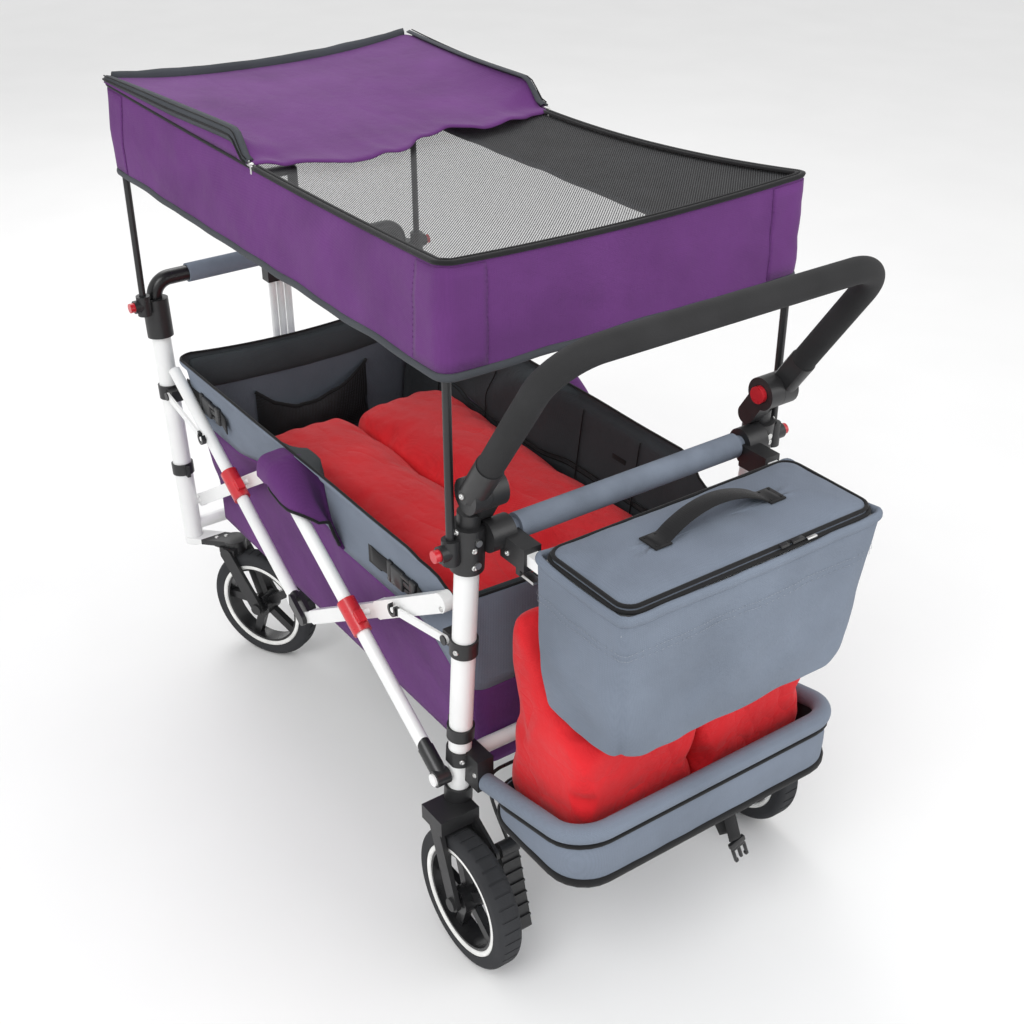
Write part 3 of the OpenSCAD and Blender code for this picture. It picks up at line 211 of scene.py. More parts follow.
def metal(name, colour, rough):
    m, tree, shader = material(name, colour, rough, 1.0)
    scratch = noise_tex(tree, coords(tree), 140.0, 6.0, 0.7)
    wire(shader, "Roughness", scaled(tree, scratch, 0.2, rough - 0.1))
    wire(shader, "Base Color", mottle(tree, scratch, colour, 0.85, 1.1))
    return m


def paint(name, colour, cap=None):
    """Powder coat; cap is the stretch along the wagon, from and to in mm, that is a black plastic cap."""
    m, tree, shader = material(name, colour, 0.34)
    v = coords(tree)
    base = mottle(tree, noise_tex(tree, v, 12.0, 4.0), colour, 0.95, 1.02)
    if cap:
        along = axes(tree, v)[0]
        after = math_node(tree, "GREATER_THAN", along, (cap[0] + SHIFT) * MM)
        before = math_node(tree, "LESS_THAN", along, (cap[1] + SHIFT) * MM)
        base = mix_colour(tree, math_node(tree, "MULTIPLY", after, before), base, (*BLACK, 1))
    wire(shader, "Base Color", base)
    peel = noise_tex(tree, v, 420.0, 2.0)
    wire(shader, "Normal", bump(tree, peel, 0.06, 0.0005))
    dust = noise_tex(tree, v, 45.0, 5.0, 0.65)
    wire(shader, "Roughness", scaled(tree, dust, 0.16, 0.26))
    wire(shader, "Coat Weight", 0.15)
    return m


def foam(name, colour, rough=0.9):
    m, tree, shader = material(name, colour, rough)
    v = coords(tree)
    wire(shader, "Base Color", mottle(tree, noise_tex(tree, v, 16.0, 4.0), colour, 0.85, 1.2))
    cells = tree.nodes.new("ShaderNodeTexVoronoi")
    wire(cells, "Scale", 620.0)
    wire(cells, "Vector", v)
    wire(shader, "Normal", bump(tree, cells.outputs["Distance"], 0.35, 0.0005))
    wire(shader, "Specular IOR Level", 0.3)
    return m


def see_through_mesh(name, colour, pitch, cover):
    """Open net: threads at the pitch, holes between them."""
    m, tree, shader = material(name, colour, 0.7)
    v = coords(tree)
    x, y, z = axes(tree, v)
    k = 2 * math.pi / pitch
    threads = []
    for s in (math_node(tree, "ADD", x, y), math_node(tree, "SUBTRACT", math_node(tree, "ADD", x, z), y)):
        wave = math_node(tree, "COSINE", math_node(tree, "MULTIPLY", s, k))
        threads.append(math_node(tree, "GREATER_THAN", wave, cover))
    wire(shader, "Alpha", math_node(tree, "MAXIMUM", *threads))
    wire(shader, "Base Color", mottle(tree, noise_tex(tree, v, 20.0, 3.0), colour, 0.8, 1.3))
    return m


PURPLE = (0.140, 0.040, 0.188)
GREY = (0.192, 0.226, 0.284)
RED = (0.78, 0.018, 0.026)
DARK = (0.052, 0.060, 0.066)
BLACK = (0.017, 0.017, 0.018)
WHITE = (0.86, 0.865, 0.86)

purple = fabric("purple_fabric", PURPLE, 0.86, wrinkle=0.3, crease=0.16)
grey_cloth = fabric("grey_fabric", GREY, 0.9, pitch=0.0026, wrinkle=0.22, scale=7.0, crease=0.14)
red_cloth = fabric("red_fabric", RED, 0.62, pitch=0.0014, wrinkle=0.5, sheen=0.12, scale=6.0, crease=0.55)
dark_cloth = fabric("dark_fabric", DARK, 0.9, pitch=0.0024, wrinkle=0.3)
black_cloth = fabric("black_fabric", BLACK, 0.9, pitch=0.002, wrinkle=0.15, sheen=0.1)
binding = fabric("black_binding", (0.013, 0.013, 0.014), 0.8, pitch=0.0016, wrinkle=0.05, sheen=0.1)
webbing = fabric("black_webbing", (0.014, 0.014, 0.015), 0.75, pitch=0.0018, wrinkle=0.03, sheen=0.1)
zip_tape = fabric("dark_zip_tape", (0.066, 0.072, 0.082), 0.85, pitch=0.0016, wrinkle=0.08)
lining_cloth = fabric("lining_fabric", (0.115, 0.132, 0.160), 0.9, pitch=0.0026, wrinkle=0.3, scale=7.0)
pale_thread = fabric("pale_thread", (0.34, 0.37, 0.42), 0.8, pitch=0.001, wrinkle=0.02)
net = see_through_mesh("black_mesh", (0.02, 0.021, 0.023), 0.0042, 0.30)
pocket_net = see_through_mesh("pocket_mesh", (0.012, 0.012, 0.013), 0.003, -0.35)
black_plastic = plastic("black_plastic", BLACK, 0.42)
gloss_black = plastic("gloss_black", (0.012, 0.012, 0.013), 0.3, 500.0, 0.05)
red_plastic = plastic("red_plastic", (0.56, 0.018, 0.028), 0.3, 600.0, 0.05, 0.3)
white_plastic = plastic("white_plastic", (0.82, 0.82, 0.8), 0.4, 500.0, 0.05)
steel = metal("zinc_steel", (0.62, 0.62, 0.61), 0.32)
white_paint = paint("white_paint", WHITE)
rear_cap_paint = paint("white_paint_rear_cap", WHITE, (-600, -398))
front_cap_paint = paint("white_paint_front_cap", WHITE, (-100, 34))
rear_strut_paint = paint("white_paint_rear_strut", WHITE, (-320, -200))
front_plate_paint = paint("white_paint_black_plates", WHITE, (300, 409))
front_strut_paint = paint("white_paint_front_strut", WHITE, (200, 320))
black_paint = plastic("black_paint", (0.014, 0.014, 0.015), 0.36, 700.0, 0.04)
grey_foam = foam("grey_foam", (0.190, 0.222, 0.276))
black_foam = foam("black_foam", (0.021, 0.021, 0.022), 0.78)
tyre_rubber = foam("tyre_rubber", (0.030, 0.031, 0.034), 0.82)


def both(*names):
    return [f"{n}_{side}" for n in names for _, side in SIDES]


def dress(mat, *names):
    for n in names:
        o = N[n]
        o.data.materials.clear()
        o.data.materials.append(mat)


dress(front_plate_paint, "front_frame_tubes")
dress(white_paint, "rear_frame_tubes", "rear_upper_bars", "front_lower_bars", "pull_stem", "cooler_frame")
dress(rear_cap_paint, "rear_lower_bars")
dress(front_cap_paint, "front_upper_bars")
dress(rear_strut_paint, "rear_struts")
dress(front_strut_paint, "front_struts")
dress(black_plastic, "rear_fittings", "handle_stubs", "rear_forks", "front_castings", "pull_mount", "pull_collar",
      "handle_sleeves", "brake_pedals", *both("caster_yoke"))
dress(gloss_black, "front_bar", "pull_grip", *both("front_rim", "rear_rim"))
dress(black_paint, "rear_poles", "front_poles")
dress(grey_foam, "rear_bar", "front_bar_sleeve")
dress(black_foam, "handle_tube")
dress(steel, "frame_screws", "cooler_levers")
dress(tyre_rubber, *both("front_tyre", "rear_tyre"))
dress(grey_cloth, "basket_tube")
dress(red_plastic, "rear_clips", "front_clips",
      *both("swivel_lock", "pole_button_rear", "pole_button_front", "handle_button"))


# Mesh helpers, in millimetres
def wob(x, y, z, size, seed=0.0):
    return noise.noise(Vector((x / size + seed, y / size - seed, z / size + 0.37 * seed)))


def metres(p):
    return (p[0] + SHIFT) * MM, p[1] * MM, p[2] * MM


def circle(n):
    return [2 * math.pi * k / n for k in range(n)]


def make(name, verts, faces, mats):
    mesh = bpy.data.meshes.new(name)
    mesh.from_pydata([metres(v) for v in verts], [], faces)
    for m in mats if isinstance(mats, list) else [mats]:
        mesh.materials.append(m)
    mesh.polygons.foreach_set("use_smooth", [True] * len(mesh.polygons))
    mesh.update()
    bm = bmesh.new()
    bm.from_mesh(mesh)
    bmesh.ops.remove_doubles(bm, verts=bm.verts, dist=1e-6)
    bmesh.ops.recalc_face_normals(bm, faces=bm.faces)
    bm.to_mesh(mesh)
    bm.free()
    return add_object(name, mesh)


def skin(name, rows, mats, closed=False, ends=0):
    """Rows of points joined into quads. closed joins each row's end to its start; ends is 1 or 2 closed ends."""
    verts = [p for row in rows for p in row]
    n = len(rows[0])
    faces = []
    for i in range(len(rows) - 1):
        for j in range(n if closed else n - 1):
            a, b = i * n + j, i * n + (j + 1) % n
            faces.append((a, b, b + n, a + n))
    if ends == 1:
        faces.append(tuple(range(n)))
    elif ends == 2:
        faces.append(tuple(range(n - 1, -1, -1)))
        faces.append(tuple(range(len(verts) - n, len(verts))))
    return make(name, verts, faces, mats)


def evaluated_mesh(o):
    return bpy.data.meshes.new_from_object(o.evaluated_get(bpy.context.evaluated_depsgraph_get()))


def bake(o):
    """Puts a piece's modifiers into its mesh."""
    bpy.context.view_layer.update()
    mesh = evaluated_mesh(o)
    o.modifiers.clear()
    o.data = mesh
    return o


def thicken(o, mm, offset=-1.0, inner=0):
    m = o.modifiers.new("thick", "SOLIDIFY")
    m.thickness = mm * MM
    m.offset = offset
    m.use_even_offset = False
    m.material_offset = inner
    m.material_offset_rim = 0
    return bake(o)


def soften(o, levels=1):
    m = o.modifiers.new("smooth", "SUBSURF")
    m.levels = levels
    m.render_levels = levels
    return o


def tube(name, pts, r, mat, n=10, closed=False, flat=1.0):
    """A round or flattened cord swept along the points; flat scales it along the path's own side direction."""
    pts = [Vector(p) for p in pts]
    count = len(pts)
    rows = []
    side = None
    for i, p in enumerate(pts):
        a = pts[(i - 1) % count] if closed or i > 0 else pts[0]
        b = pts[(i + 1) % count] if closed or i < count - 1 else pts[-1]
        t = (b - a).normalized()
        if side is None:
            side = t.cross(Vector((0, 0, 1)))
            if side.length < 0.1:
                side = t.cross(Vector((1, 0, 0)))
        side = (side - t * side.dot(t)).normalized()
        upward = t.cross(side).normalized()
        rows.append([tuple(p + side * (r * math.cos(q)) + upward * (r * flat * math.sin(q))) for q in circle(n)])
    if closed:
        rows.append(rows[0])
    return skin(name, rows, mat, True, 0 if closed else 2)


def ribbon(name, pts, across, width, thick, mat):
    """A flat band along the points; across is the direction of its width."""
    pts = [Vector(p) for p in pts]
    w = Vector(across).normalized() * (width / 2)
    rows = []
    for i, p in enumerate(pts):
        t = (pts[min(i + 1, len(pts) - 1)] - pts[max(i - 1, 0)]).normalized()
        n = t.cross(w).normalized() * (thick / 2)
        e = w * 0.92
        rows.append([tuple(q) for q in (p + w, p + e + n, p - e + n, p - w, p - e - n, p + e - n)])
    return skin(name, rows, mat, True, 2)


def round_box(name, size, at, mat, r=2.0, turn=None):
    mesh = bpy.data.meshes.new(name)
    bm = bmesh.new()
    bmesh.ops.create_cube(bm, size=1.0)
    for v in bm.verts:
        v.co = Vector(v.co[i] * size[i] * MM for i in range(3))
    width = min(r, min(size) * 0.45) * MM
    bmesh.ops.bevel(bm, geom=list(bm.edges), offset=width, segments=3, affect="EDGES", profile=0.5)
    if turn is not None:
        bmesh.ops.transform(bm, matrix=turn.to_4x4(), verts=bm.verts)
    for v in bm.verts:
        v.co += Vector(metres(at))
    bm.to_mesh(mesh)
    bm.free()
    mesh.polygons.foreach_set("use_smooth", [True] * len(mesh.polygons))
    mesh.materials.append(mat)
    return add_object(name, mesh)


def join(name, parts):
    """One object of several meshes that share its materials."""
    mats = []
    bm = bmesh.new()
    for p in parts:
        index = []
        for m in p.data.materials:
            if m not in mats:
                mats.append(m)
            index.append(mats.index(m))
        start = len(bm.faces)
        bm.from_mesh(p.data)
        bm.faces.ensure_lookup_table()
        for f in bm.faces[start:]:
            f.material_index = index[f.material_index] if index else 0
    mesh = bpy.data.meshes.new(name)
    bm.to_mesh(mesh)
    bm.free()
    for m in mats:
        mesh.materials.append(m)
    for p in parts:
        bpy.data.objects.remove(p, do_unlink=True)
    return add_object(name, mesh)


def ring_path(x0, x1, hy, r, step=12.0):
    """Points and outward directions round a rectangle with round corners, seen from above."""
    out = []
    corners = [(x1 - r, hy - r, 0), (x0 + r, hy - r, 90), (x0 + r, -hy + r, 180), (x1 - r, -hy + r, 270)]
    for i, (cx, cy, a0) in enumerate(corners):
        for k in range(7):
            a = math.radians(a0 + 15 * k)
            out.append((cx + r * math.cos(a), cy + r * math.sin(a), math.cos(a), math.sin(a)))
        nx, ny, _ = corners[(i + 1) % 4]
        a = math.radians(a0 + 90)
        p = Vector((cx + r * math.cos(a), cy + r * math.sin(a)))
        q = Vector((nx + r * math.cos(a), ny + r * math.sin(a)))
        n = max(2, int((q - p).length / step))
        for k in range(1, n):
            m = p.lerp(q, k / n)
            out.append((m.x, m.y, math.cos(a), math.sin(a)))
    return out


def stitches(name, pts, gap, size, mat, normal):
    """A row of thread dashes along the points."""
    pts = [Vector(p) for p in pts]
    nrm = Vector(normal)
    verts, faces = [], []
    for a, b in zip(pts, pts[1:]):
        n = max(1, int((b - a).length / gap))
        d = (b - a).normalized()
        s = d.cross(nrm).normalized() * (size * 0.35)
        for k in range(n):
            c = a.lerp(b, (k + 0.5) / n) + nrm * 0.35
            h = d * (gap * 0.32)
            i = len(verts)
            verts += [tuple(c - h - s), tuple(c + h - s), tuple(c + h + s), tuple(c - h + s),
                      tuple(c - h * 0.6 + nrm * size * 0.5), tuple(c + h * 0.6 + nrm * size * 0.5)]
            faces += [(i, i + 1, i + 5, i + 4), (i + 3, i + 4, i + 5, i + 2), (i, i + 4, i + 3),
                      (i + 1, i + 2, i + 5), (i, i + 3, i + 2, i + 1)]
    return make(name, verts, faces, mat)


def smooth01(t):
    t = min(1.0, max(0.0, t))
    return t * t * (3 - 2 * t)


def tub_piece(o, *nodes):
    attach(o, "rear_frame")
    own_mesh(o)
    if nodes:
        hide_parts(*nodes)
    return o


def top_piece(o, *nodes):
    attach(o, "canopy")
    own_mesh(o)
    if nodes:
        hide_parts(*nodes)
    return o


# Brake cable from pedal to pedal, on the route of its CAD solid with rounded bends
CABLE_BEND = 26
route = [Vector(p) for p in ((-515, 212, 199.5), (-478, 212, 242), (-468, 212, 284),
                             (-468, -212, 284), (-478, -212, 242), (-515, -212, 199.5))]
path = [route[0]]
for a, b, c in zip(route, route[1:], route[2:]):
    before = b + (a - b).normalized() * min(CABLE_BEND, 0.45 * (a - b).length)
    after = b + (c - b).normalized() * min(CABLE_BEND, 0.45 * (c - b).length)
    for k in range(11):
        u = k / 10
        path.append(before * (1 - u) ** 2 + b * (2 * u * (1 - u)) + after * u ** 2)
path.append(route[-1])
cable = tube("brake_cable_sheath", path, 2.5, gloss_black, 12)
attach(cable, "rear_frame")
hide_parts("brake_cable")
route = [metres(p) for p in path]
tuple(route[0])

# Canopy
TOP, LOW = 1036.0, 901.0
CX0, CX1, CHY = -486.0, 472.0, 277.0
CORNER = 20
MID, HALF = (CX0 + CX1) / 2, (CX1 - CX0) / 2


def slack(x, y, nx, ny):
    """How far the top edge is drawn in, and how far it hangs, between its poles."""
    if abs(ny) > abs(nx):
        k = 1 - min(1.0, abs(x - MID) / HALF) ** 2
        return 31 * k, 29 * k
    k = 1 - min(1.0, abs(y) / CHY) ** 2
    return (12 * k, 15 * k) if x > 0 else (7 * k, 11 * k)


def valance_out(x, y, t):
    """Soft belly and shallow ripples of the band, tight at both edges."""
    free = math.sin(math.pi * min(1.0, max(0.0, t))) ** 0.7
    return free * (2.0 + 3.4 * wob(x, y, 40 * t, 95, 3.1) + 1.6 * wob(x + 2 * y, 0, 90 * t, 38, 6.2)
                   + 2.4 * wob(x + 190 * t, y + 190 * t, 0, 62, 9.3))


def band_point(x, y, nx, ny, t, out=0.0, lift=0.0):
    drawn, hang = slack(x, y, nx, ny)
    top = TOP - hang
    low = LOW + 3.5 * wob(x, y, 0, 75, 8.0)
    d = valance_out(x, y, t) - drawn * (1 - t) ** 1.3 + out
    return x + nx * d, y + ny * d, top + (low - top) * t + lift


path = ring_path(CX0, CX1, CHY, CORNER, 14)
rows = [[band_point(*q, i / 16) for q in path] for i in range(17)]
valance = soften(thicken(skin("canopy_band", rows, [purple, black_cloth], True), 1.6, -1.0, 1))
top_piece(valance, "canopy_valance")
top_piece(tube("canopy_top_binding", [band_point(*q, 0.0, 0.5, 0.5) for q in path], 2.6, binding, 8, True))
low_edge = [band_point(*q, 1.0, 0.0, -1.0) for q in path]
top_piece(tube("canopy_low_binding", low_edge, 3.2, zip_tape, 8, True, 1.7))
# Zip round the open half, in two rows of teeth on a dark tape
PULL_X = 32.0
lead = [q for q in path if q[0] < PULL_X]
parts = [tube("zip", [band_point(*q, 0.0, -0.5, 0.5) for q in lead], 4.0, binding, 8, False, 0.8),
         tube("zip", [band_point(*q, 0.0, -7.5, 1.0) for q in lead], 2.6, binding, 8, False, 0.9)]
for sy in (1, -1):
    x, y, z = band_point(PULL_X, sy * CHY, 0, sy, 0.0)
    parts.append(round_box("pull", (11, 7, 5), (x, y, z + 4), steel, 1.5))
    parts.append(round_box("pull", (4, 4, 12), (x - 6, y + sy * 2, z - 2), steel, 1.2))
top_piece(join("canopy_zip", parts))

# Corner strips with their sewn edges
parts = []
for sx, x in ((-1, CX0), (1, CX1)):
    for sy in (-1, 1):
        cols = []
        for k in range(15):
            u = (k - 7) / 7 * 52
            if abs(u) < 12:
                a = math.radians(45 + u / 12 * 45)
                qx, qy = math.cos(a), math.sin(a)
                px, py = CORNER * qx - CORNER, CORNER * qy - CORNER
            elif u < 0:
                px, py, qx, qy = 0.0, u + 12 - CORNER, 1.0, 0.0
            else:
                px, py, qx, qy = -(u - 12) - CORNER, 0.0, 0.0, 1.0
            cols.append((x + sx * px, sy * (CHY + py), sx * qx, sy * qy))
        rows = [[band_point(*c, 0.04 + 0.92 * i / 8, 1.0) for c in cols] for i in range(9)]
        parts.append(skin("corner", rows, purple))
        for k in (0, 14):
            c = cols[k]
            seam = [band_point(*c, 0.06 + 0.88 * i / 8, 1.7) for i in range(9)]
            parts.append(stitches("seam", seam, 5.0, 0.9, purple, (c[2], c[3], 0)))
corners = join("canopy_corner_strips", parts)
thick = corners.modifiers.new("thick", "SOLIDIFY")
thick.thickness = 0.9 * MM
top_piece(corners)


def top_half(x):
    """Half width and height of the top edge at x."""
    drawn, hang = slack(x, CHY, 0, 1)
    return CHY - drawn, TOP - hang


# Roof mesh, hanging slightly between the edges
NET_REAR, NET_FRONT = -478, 70
rows = []
for i in range(29):
    x = NET_REAR + (NET_FRONT - NET_REAR) * i / 28
    half, z = top_half(x)
    end = math.exp(-(x - CX0) / 90)
    rows.append([(x, (half - 4) * v, z - 3 - 7 * (1 - v * v) * (1 - end) - 11 * (1 - v * v) * end)
                 for v in (j / 14 - 1 for j in range(29))])
roof = skin("canopy_net", rows, net)
top_piece(roof, "canopy_mesh")


# Roof panel: its rear edge is loose and gathered, its zip tapes stand up at the sides
def panel_edge(v):
    """Where the loose edge lies across the panel, v from -1 at the right to 1 at the left."""
    ys = (-1.0, -0.82, -0.62, -0.42, -0.26, 0.0, 0.12, 0.36, 0.58, 0.74, 0.92, 1.0)
    xs = (20, 10, 2, -3, 22, 6, -18, -27, -31, -8, 14, 24)
    return float(np.interp(v, ys, xs))


def tape_top(x):
    return 1046 + 3 * math.exp(-((x - 80) / 110) ** 2) - 7 * smooth01((70 - x) / 50)


def tape_line(x):
    """Height of a side tape's top edge: it comes down to the zip pull at its rear end."""
    high = tape_top(x)
    drop = smooth01((92 - x) / 52)
    return high + (top_half(x)[1] + 9 - high) * drop ** 2


def panel_half(x):
    return top_half(min(440, x))[0] - 3 - 7 * smooth01((x - 440) / 30)


PANEL_FRONT = 464
LOOSE_Z = 1010
rows = []
for i in range(44):
    u = (i / 43) ** 1.3
    row = []
    for j in range(53):
        v = j / 26 - 1
        y = v * 240
        edge = panel_edge(v) + 5 * wob(0, y, 0, 40, 1.7)
        x = edge + (PANEL_FRONT - edge) * u
        away = x - edge
        front = 1026 + 13 * v * v
        base = LOOSE_Z + (front - LOOSE_Z) * smooth01(away / 330)
        tuck = math.exp(-(away / 30) ** 2) * (3 + 6 * max(0.0, wob(0, y, 0, 40, 2.9)))
        pleat = 9 * (abs(wob(0.15 * away, y, 0, 33, 5.5)) - 0.35) * math.exp(-away / 80)
        fold = pleat + 2.5 * wob(x * 0.4, y, 0, 60, 1.5) * math.exp(-away / 200) + 1.2 * wob(x, y, 0, 150, 0.7)
        z = base + tuck + fold + (tape_line(x) - 4 - base - tuck * 0.6) * abs(v) ** 7
        if i == 0:
            z -= 5
            x += 3
        elif i == 1:
            z -= 1
        row.append((x, v * panel_half(x), z))
    rows.append(row)
panel = soften(thicken(skin("canopy_roof_panel", rows, purple), 1.6, -1.0))
top_piece(panel, "canopy_panel")
TAPE_FRONT = 462
for sy, side in SIDES:
    gusset, tape, teeth = [], [], []
    for k in range(37):
        x = TAPE_FRONT - (TAPE_FRONT - PULL_X - 4) * k / 36
        half, low = top_half(x)
        high = tape_line(x)
        inner = half - 4 + 3 * smooth01((92 - x) / 52)
        wide = min(18.0, (high - low) * 0.6)
        foot = high - wide
        gusset.append([(x, sy * half, low + 1), (x, sy * (half + 2.0), low + (foot - low) * 0.5),
                       (x, sy * (inner + 4.5), foot + 2)])
        tape.append([(x, sy * (inner + 5.0), foot), (x, sy * (inner + 6.2), high - wide * 0.6),
                     (x, sy * (inner + 4.2), high - wide * 0.22), (x, sy * (inner + 0.5), high + 0.6),
                     (x, sy * (inner - 6), high - 1.2)])
        teeth.append((x, sy * (inner + 6.8), high - wide * 0.55))
    top_piece(thicken(skin("canopy_side_gusset_" + side, gusset, purple), 1.2, 0.0))
    band = thicken(skin("tape", tape, zip_tape), 1.8, 0.0)
    line = tube("teeth", teeth, 1.8, binding, 6)
    hem = tube("teeth", [(p[2][0], p[2][1] + sy * 0.8, p[2][2] + 3) for p in tape], 1.0, binding, 6)
    top_piece(join("canopy_side_zip_" + side, [band, line, hem]))
tape, teeth = [], []
for k in range(41):
    y = -262 + 524 * k / 40
    x, _, low = band_point(CX1, y, 1, 0, 0.0)
    z = 1050 - 12 * (1 - (y / 262) ** 2) + 2.0 * wob(0, y, 0, 40, 3.0)
    tape.append([(x - 1, y, low + 1), (x + 1.0, y, z - 14), (x - 1, y, z - 3), (x - 4, y, z), (x - 7, y, z - 5),
                 (x - 8, y, z - 20)])
    teeth.append((x + 1.2, y, z - 7))
band = thicken(skin("tape", tape, zip_tape), 1.8, 0.0)
top_piece(join("canopy_front_zip", [band, tube("teeth", teeth, 1.7, binding, 6)]))


# Tub
TX0, TX1 = -430.5, 415.0
TUB_LOW, TUB_RIM = 262, 584
TUB_HALF = 200
BAR_SLOPE = 0.6304


def rim_z(x):
    return TUB_RIM - 36 * smooth01((-325 - x) / 100) + 1.5 * wob(x, 0, 0, 130, 4.0)


def side_y(x, z):
    """Half width of the tub: it spreads to the posts at the rim, but passes inside the upper middle joint."""
    inner = 190 + 16 * (z - TUB_LOW) / 324
    low = 190 + 37 * (z - TUB_LOW) / 303
    outer = low if z < 562 else 226.6 + 11.5 * smooth01((z - 562) / 20)
    if x < -20:
        share = smooth01((-20 - x) / 70)
    else:
        bar = TUB_RIM - BAR_SLOPE * max(0.0, x)
        share = smooth01((z - bar) / max(2.0, min(45.0, TUB_RIM - bar)))
    return inner + (outer - inner) * max(share, smooth01((z - 579) / 4))


def tub_rows(low_of, high_of, shares, crease):
    rows = []
    ring = ring_path(TX0, TX1, TUB_HALF, 22, 14)
    for t in shares:
        row = []
        for x, y, nx, ny in ring:
            z0, z1 = low_of(x), high_of(x)
            z = z0 + (z1 - z0) * t
            k = side_y(x, z) / TUB_HALF
            if abs(ny) < 0.05:
                z -= (13 if x > 0 else 6) * t * max(0.0, 1 - (y / 178) ** 2) * (high_of is rim_z)
            fold = crease * (0.5 + 0.5 * wob(x, y, z, 75, 6.0)) * math.sin(math.pi * t)
            row.append((x - nx * fold, y * k - ny * fold, z))
        rows.append(row)
    return rows


def band_low(x):
    rise = 14 * smooth01((x - 60) / 120) - 6 * smooth01((x - 330) / 80)
    return 458 + rise - 62 * smooth01((-310 - x) / 110)


lower_rows = tub_rows(lambda x: TUB_LOW, lambda x: band_low(x) + 2, [k / 16 for k in range(17)], 3.5)
lower = thicken(skin("tub_lower_cloth", lower_rows, [purple, dark_cloth], True), 2.2, 1.0, 1)
tub_piece(lower, "tub_sides", "tub_ends")
shares = [0.0, 0.12, 0.25, 0.38, 0.5, 0.6, 0.7, 0.78, 0.85, 0.9, 0.94, 0.97, 0.99, 1.0]
band_rows = tub_rows(band_low, rim_z, shares, 1.4)
band = thicken(skin("tub_upper_band", band_rows, [grey_cloth, dark_cloth], True), 2.6, 1.0, 1)
tub_piece(band)
tub_piece(tube("tub_rim_piping", [(x, y, z + 1.2) for x, y, z in band_rows[-1]], 2.1, binding, 8, True))
tub_piece(tube("tub_band_seam", band_rows[0], 1.3, binding, 6, True))


def wall_roll(name, profile, half, hang, mat):
    """Padded roll along the top of an end wall."""
    cx = sum(p[0] for p in profile) / len(profile)
    rows = []
    for k in range(37):
        v = k / 18 - 1
        y = v * 200
        drop = hang * (1 - v * v)
        taper = 1 - 0.35 * abs(v) ** 12
        rows.append([(cx + (x - cx) * taper + 0.8 * wob(x, y, z, 40, 5.1), v * half,
                      z - drop + 1.5 * wob(x, y, z, 55, 2.0)) for x, z in profile])
    return soften(skin(name, rows, mat, True, 2))


front_profile = [(417.5, 530), (416, 522), (411, 519), (405, 524), (401, 535), (399.5, 549),
                 (401, 563), (405, 573), (410, 578), (416, 577), (419.5, 569), (419.5, 550)]
tub_piece(wall_roll("tub_front_roll", front_profile, 221, 12, dark_cloth))
rear_profile = [(-429.5, 512), (-427.5, 504), (-422, 502), (-416, 507), (-412.5, 518), (-412, 531),
                (-414.5, 543), (-419, 550), (-424.5, 552), (-429, 548), (-430.5, 538), (-430.5, 524)]
tub_piece(wall_roll("tub_rear_roll", rear_profile, 208, 5, dark_cloth))
rows = []
for i in range(19):
    z = 268 + 258 * i / 18
    ys = [side_y(405, z) * 0.97 * (j / 15 - 1) for j in range(31)]
    rows.append([(411.2 - 3.2 * (0.5 + 0.5 * wob(0, y, z, 45, 3.7)), y, z) for y in ys])
lining = thicken(skin("tub_front_lining", rows, lining_cloth), 1.2, 0.0)
tub_piece(lining)
rows = []
for i in range(29):
    x = -426 + 836 * i / 28
    rows.append([(x, -187 + 374 * j / 14, 264 + 1.4 * wob(x, j * 26, 0, 60, 9.0)) for j in range(15)])
floor_cloth = thicken(skin("tub_floor_cloth", rows, dark_cloth), 2.0, 0.0)
tub_piece(floor_cloth, "tub_floor")
parts = []
for sy in (1, -1):
    for x in (-250, -110, 130, 300):
        upright = [(x, sy * (side_y(x, z) - 4.6), z) for z in range(270, 576, 9)]
        parts.append(tube("seam", upright, 1.2, binding, 6))
    level = [(x, sy * (side_y(x, 470) - 4.6), 470 + 3 * wob(x, 0, 0, 90)) for x in range(-400, 400, 12)]
    parts.append(tube("seam", level, 1.1, binding, 6))
tub_piece(join("tub_lining_seams", parts))

# Net pocket with its elastic edge on the front wall
POCKET_LOW = 372
rows = []
for i in range(15):
    t = i / 14
    row = []
    for j in range(33):
        s = j / 32
        y = 106 - 224 * s
        top = float(np.interp(s, (0.0, 0.12, 0.3, 0.5, 0.75, 1.0), (486, 464, 448, 450, 466, 490)))
        belly = 30 * math.sin(math.pi * s) ** 0.6 * (0.3 + 0.7 * math.sin(math.pi * (0.1 + 0.62 * t)))
        row.append((405.5 - belly - 2.5 * wob(0, y, t * 60, 20, 7.0), y, POCKET_LOW + (top - POCKET_LOW) * t))
    rows.append(row)
pocket = skin("tub_pocket", rows, pocket_net)
tub_piece(pocket)
tub_piece(tube("tub_pocket_hem", rows[-1], 3.4, binding, 8))

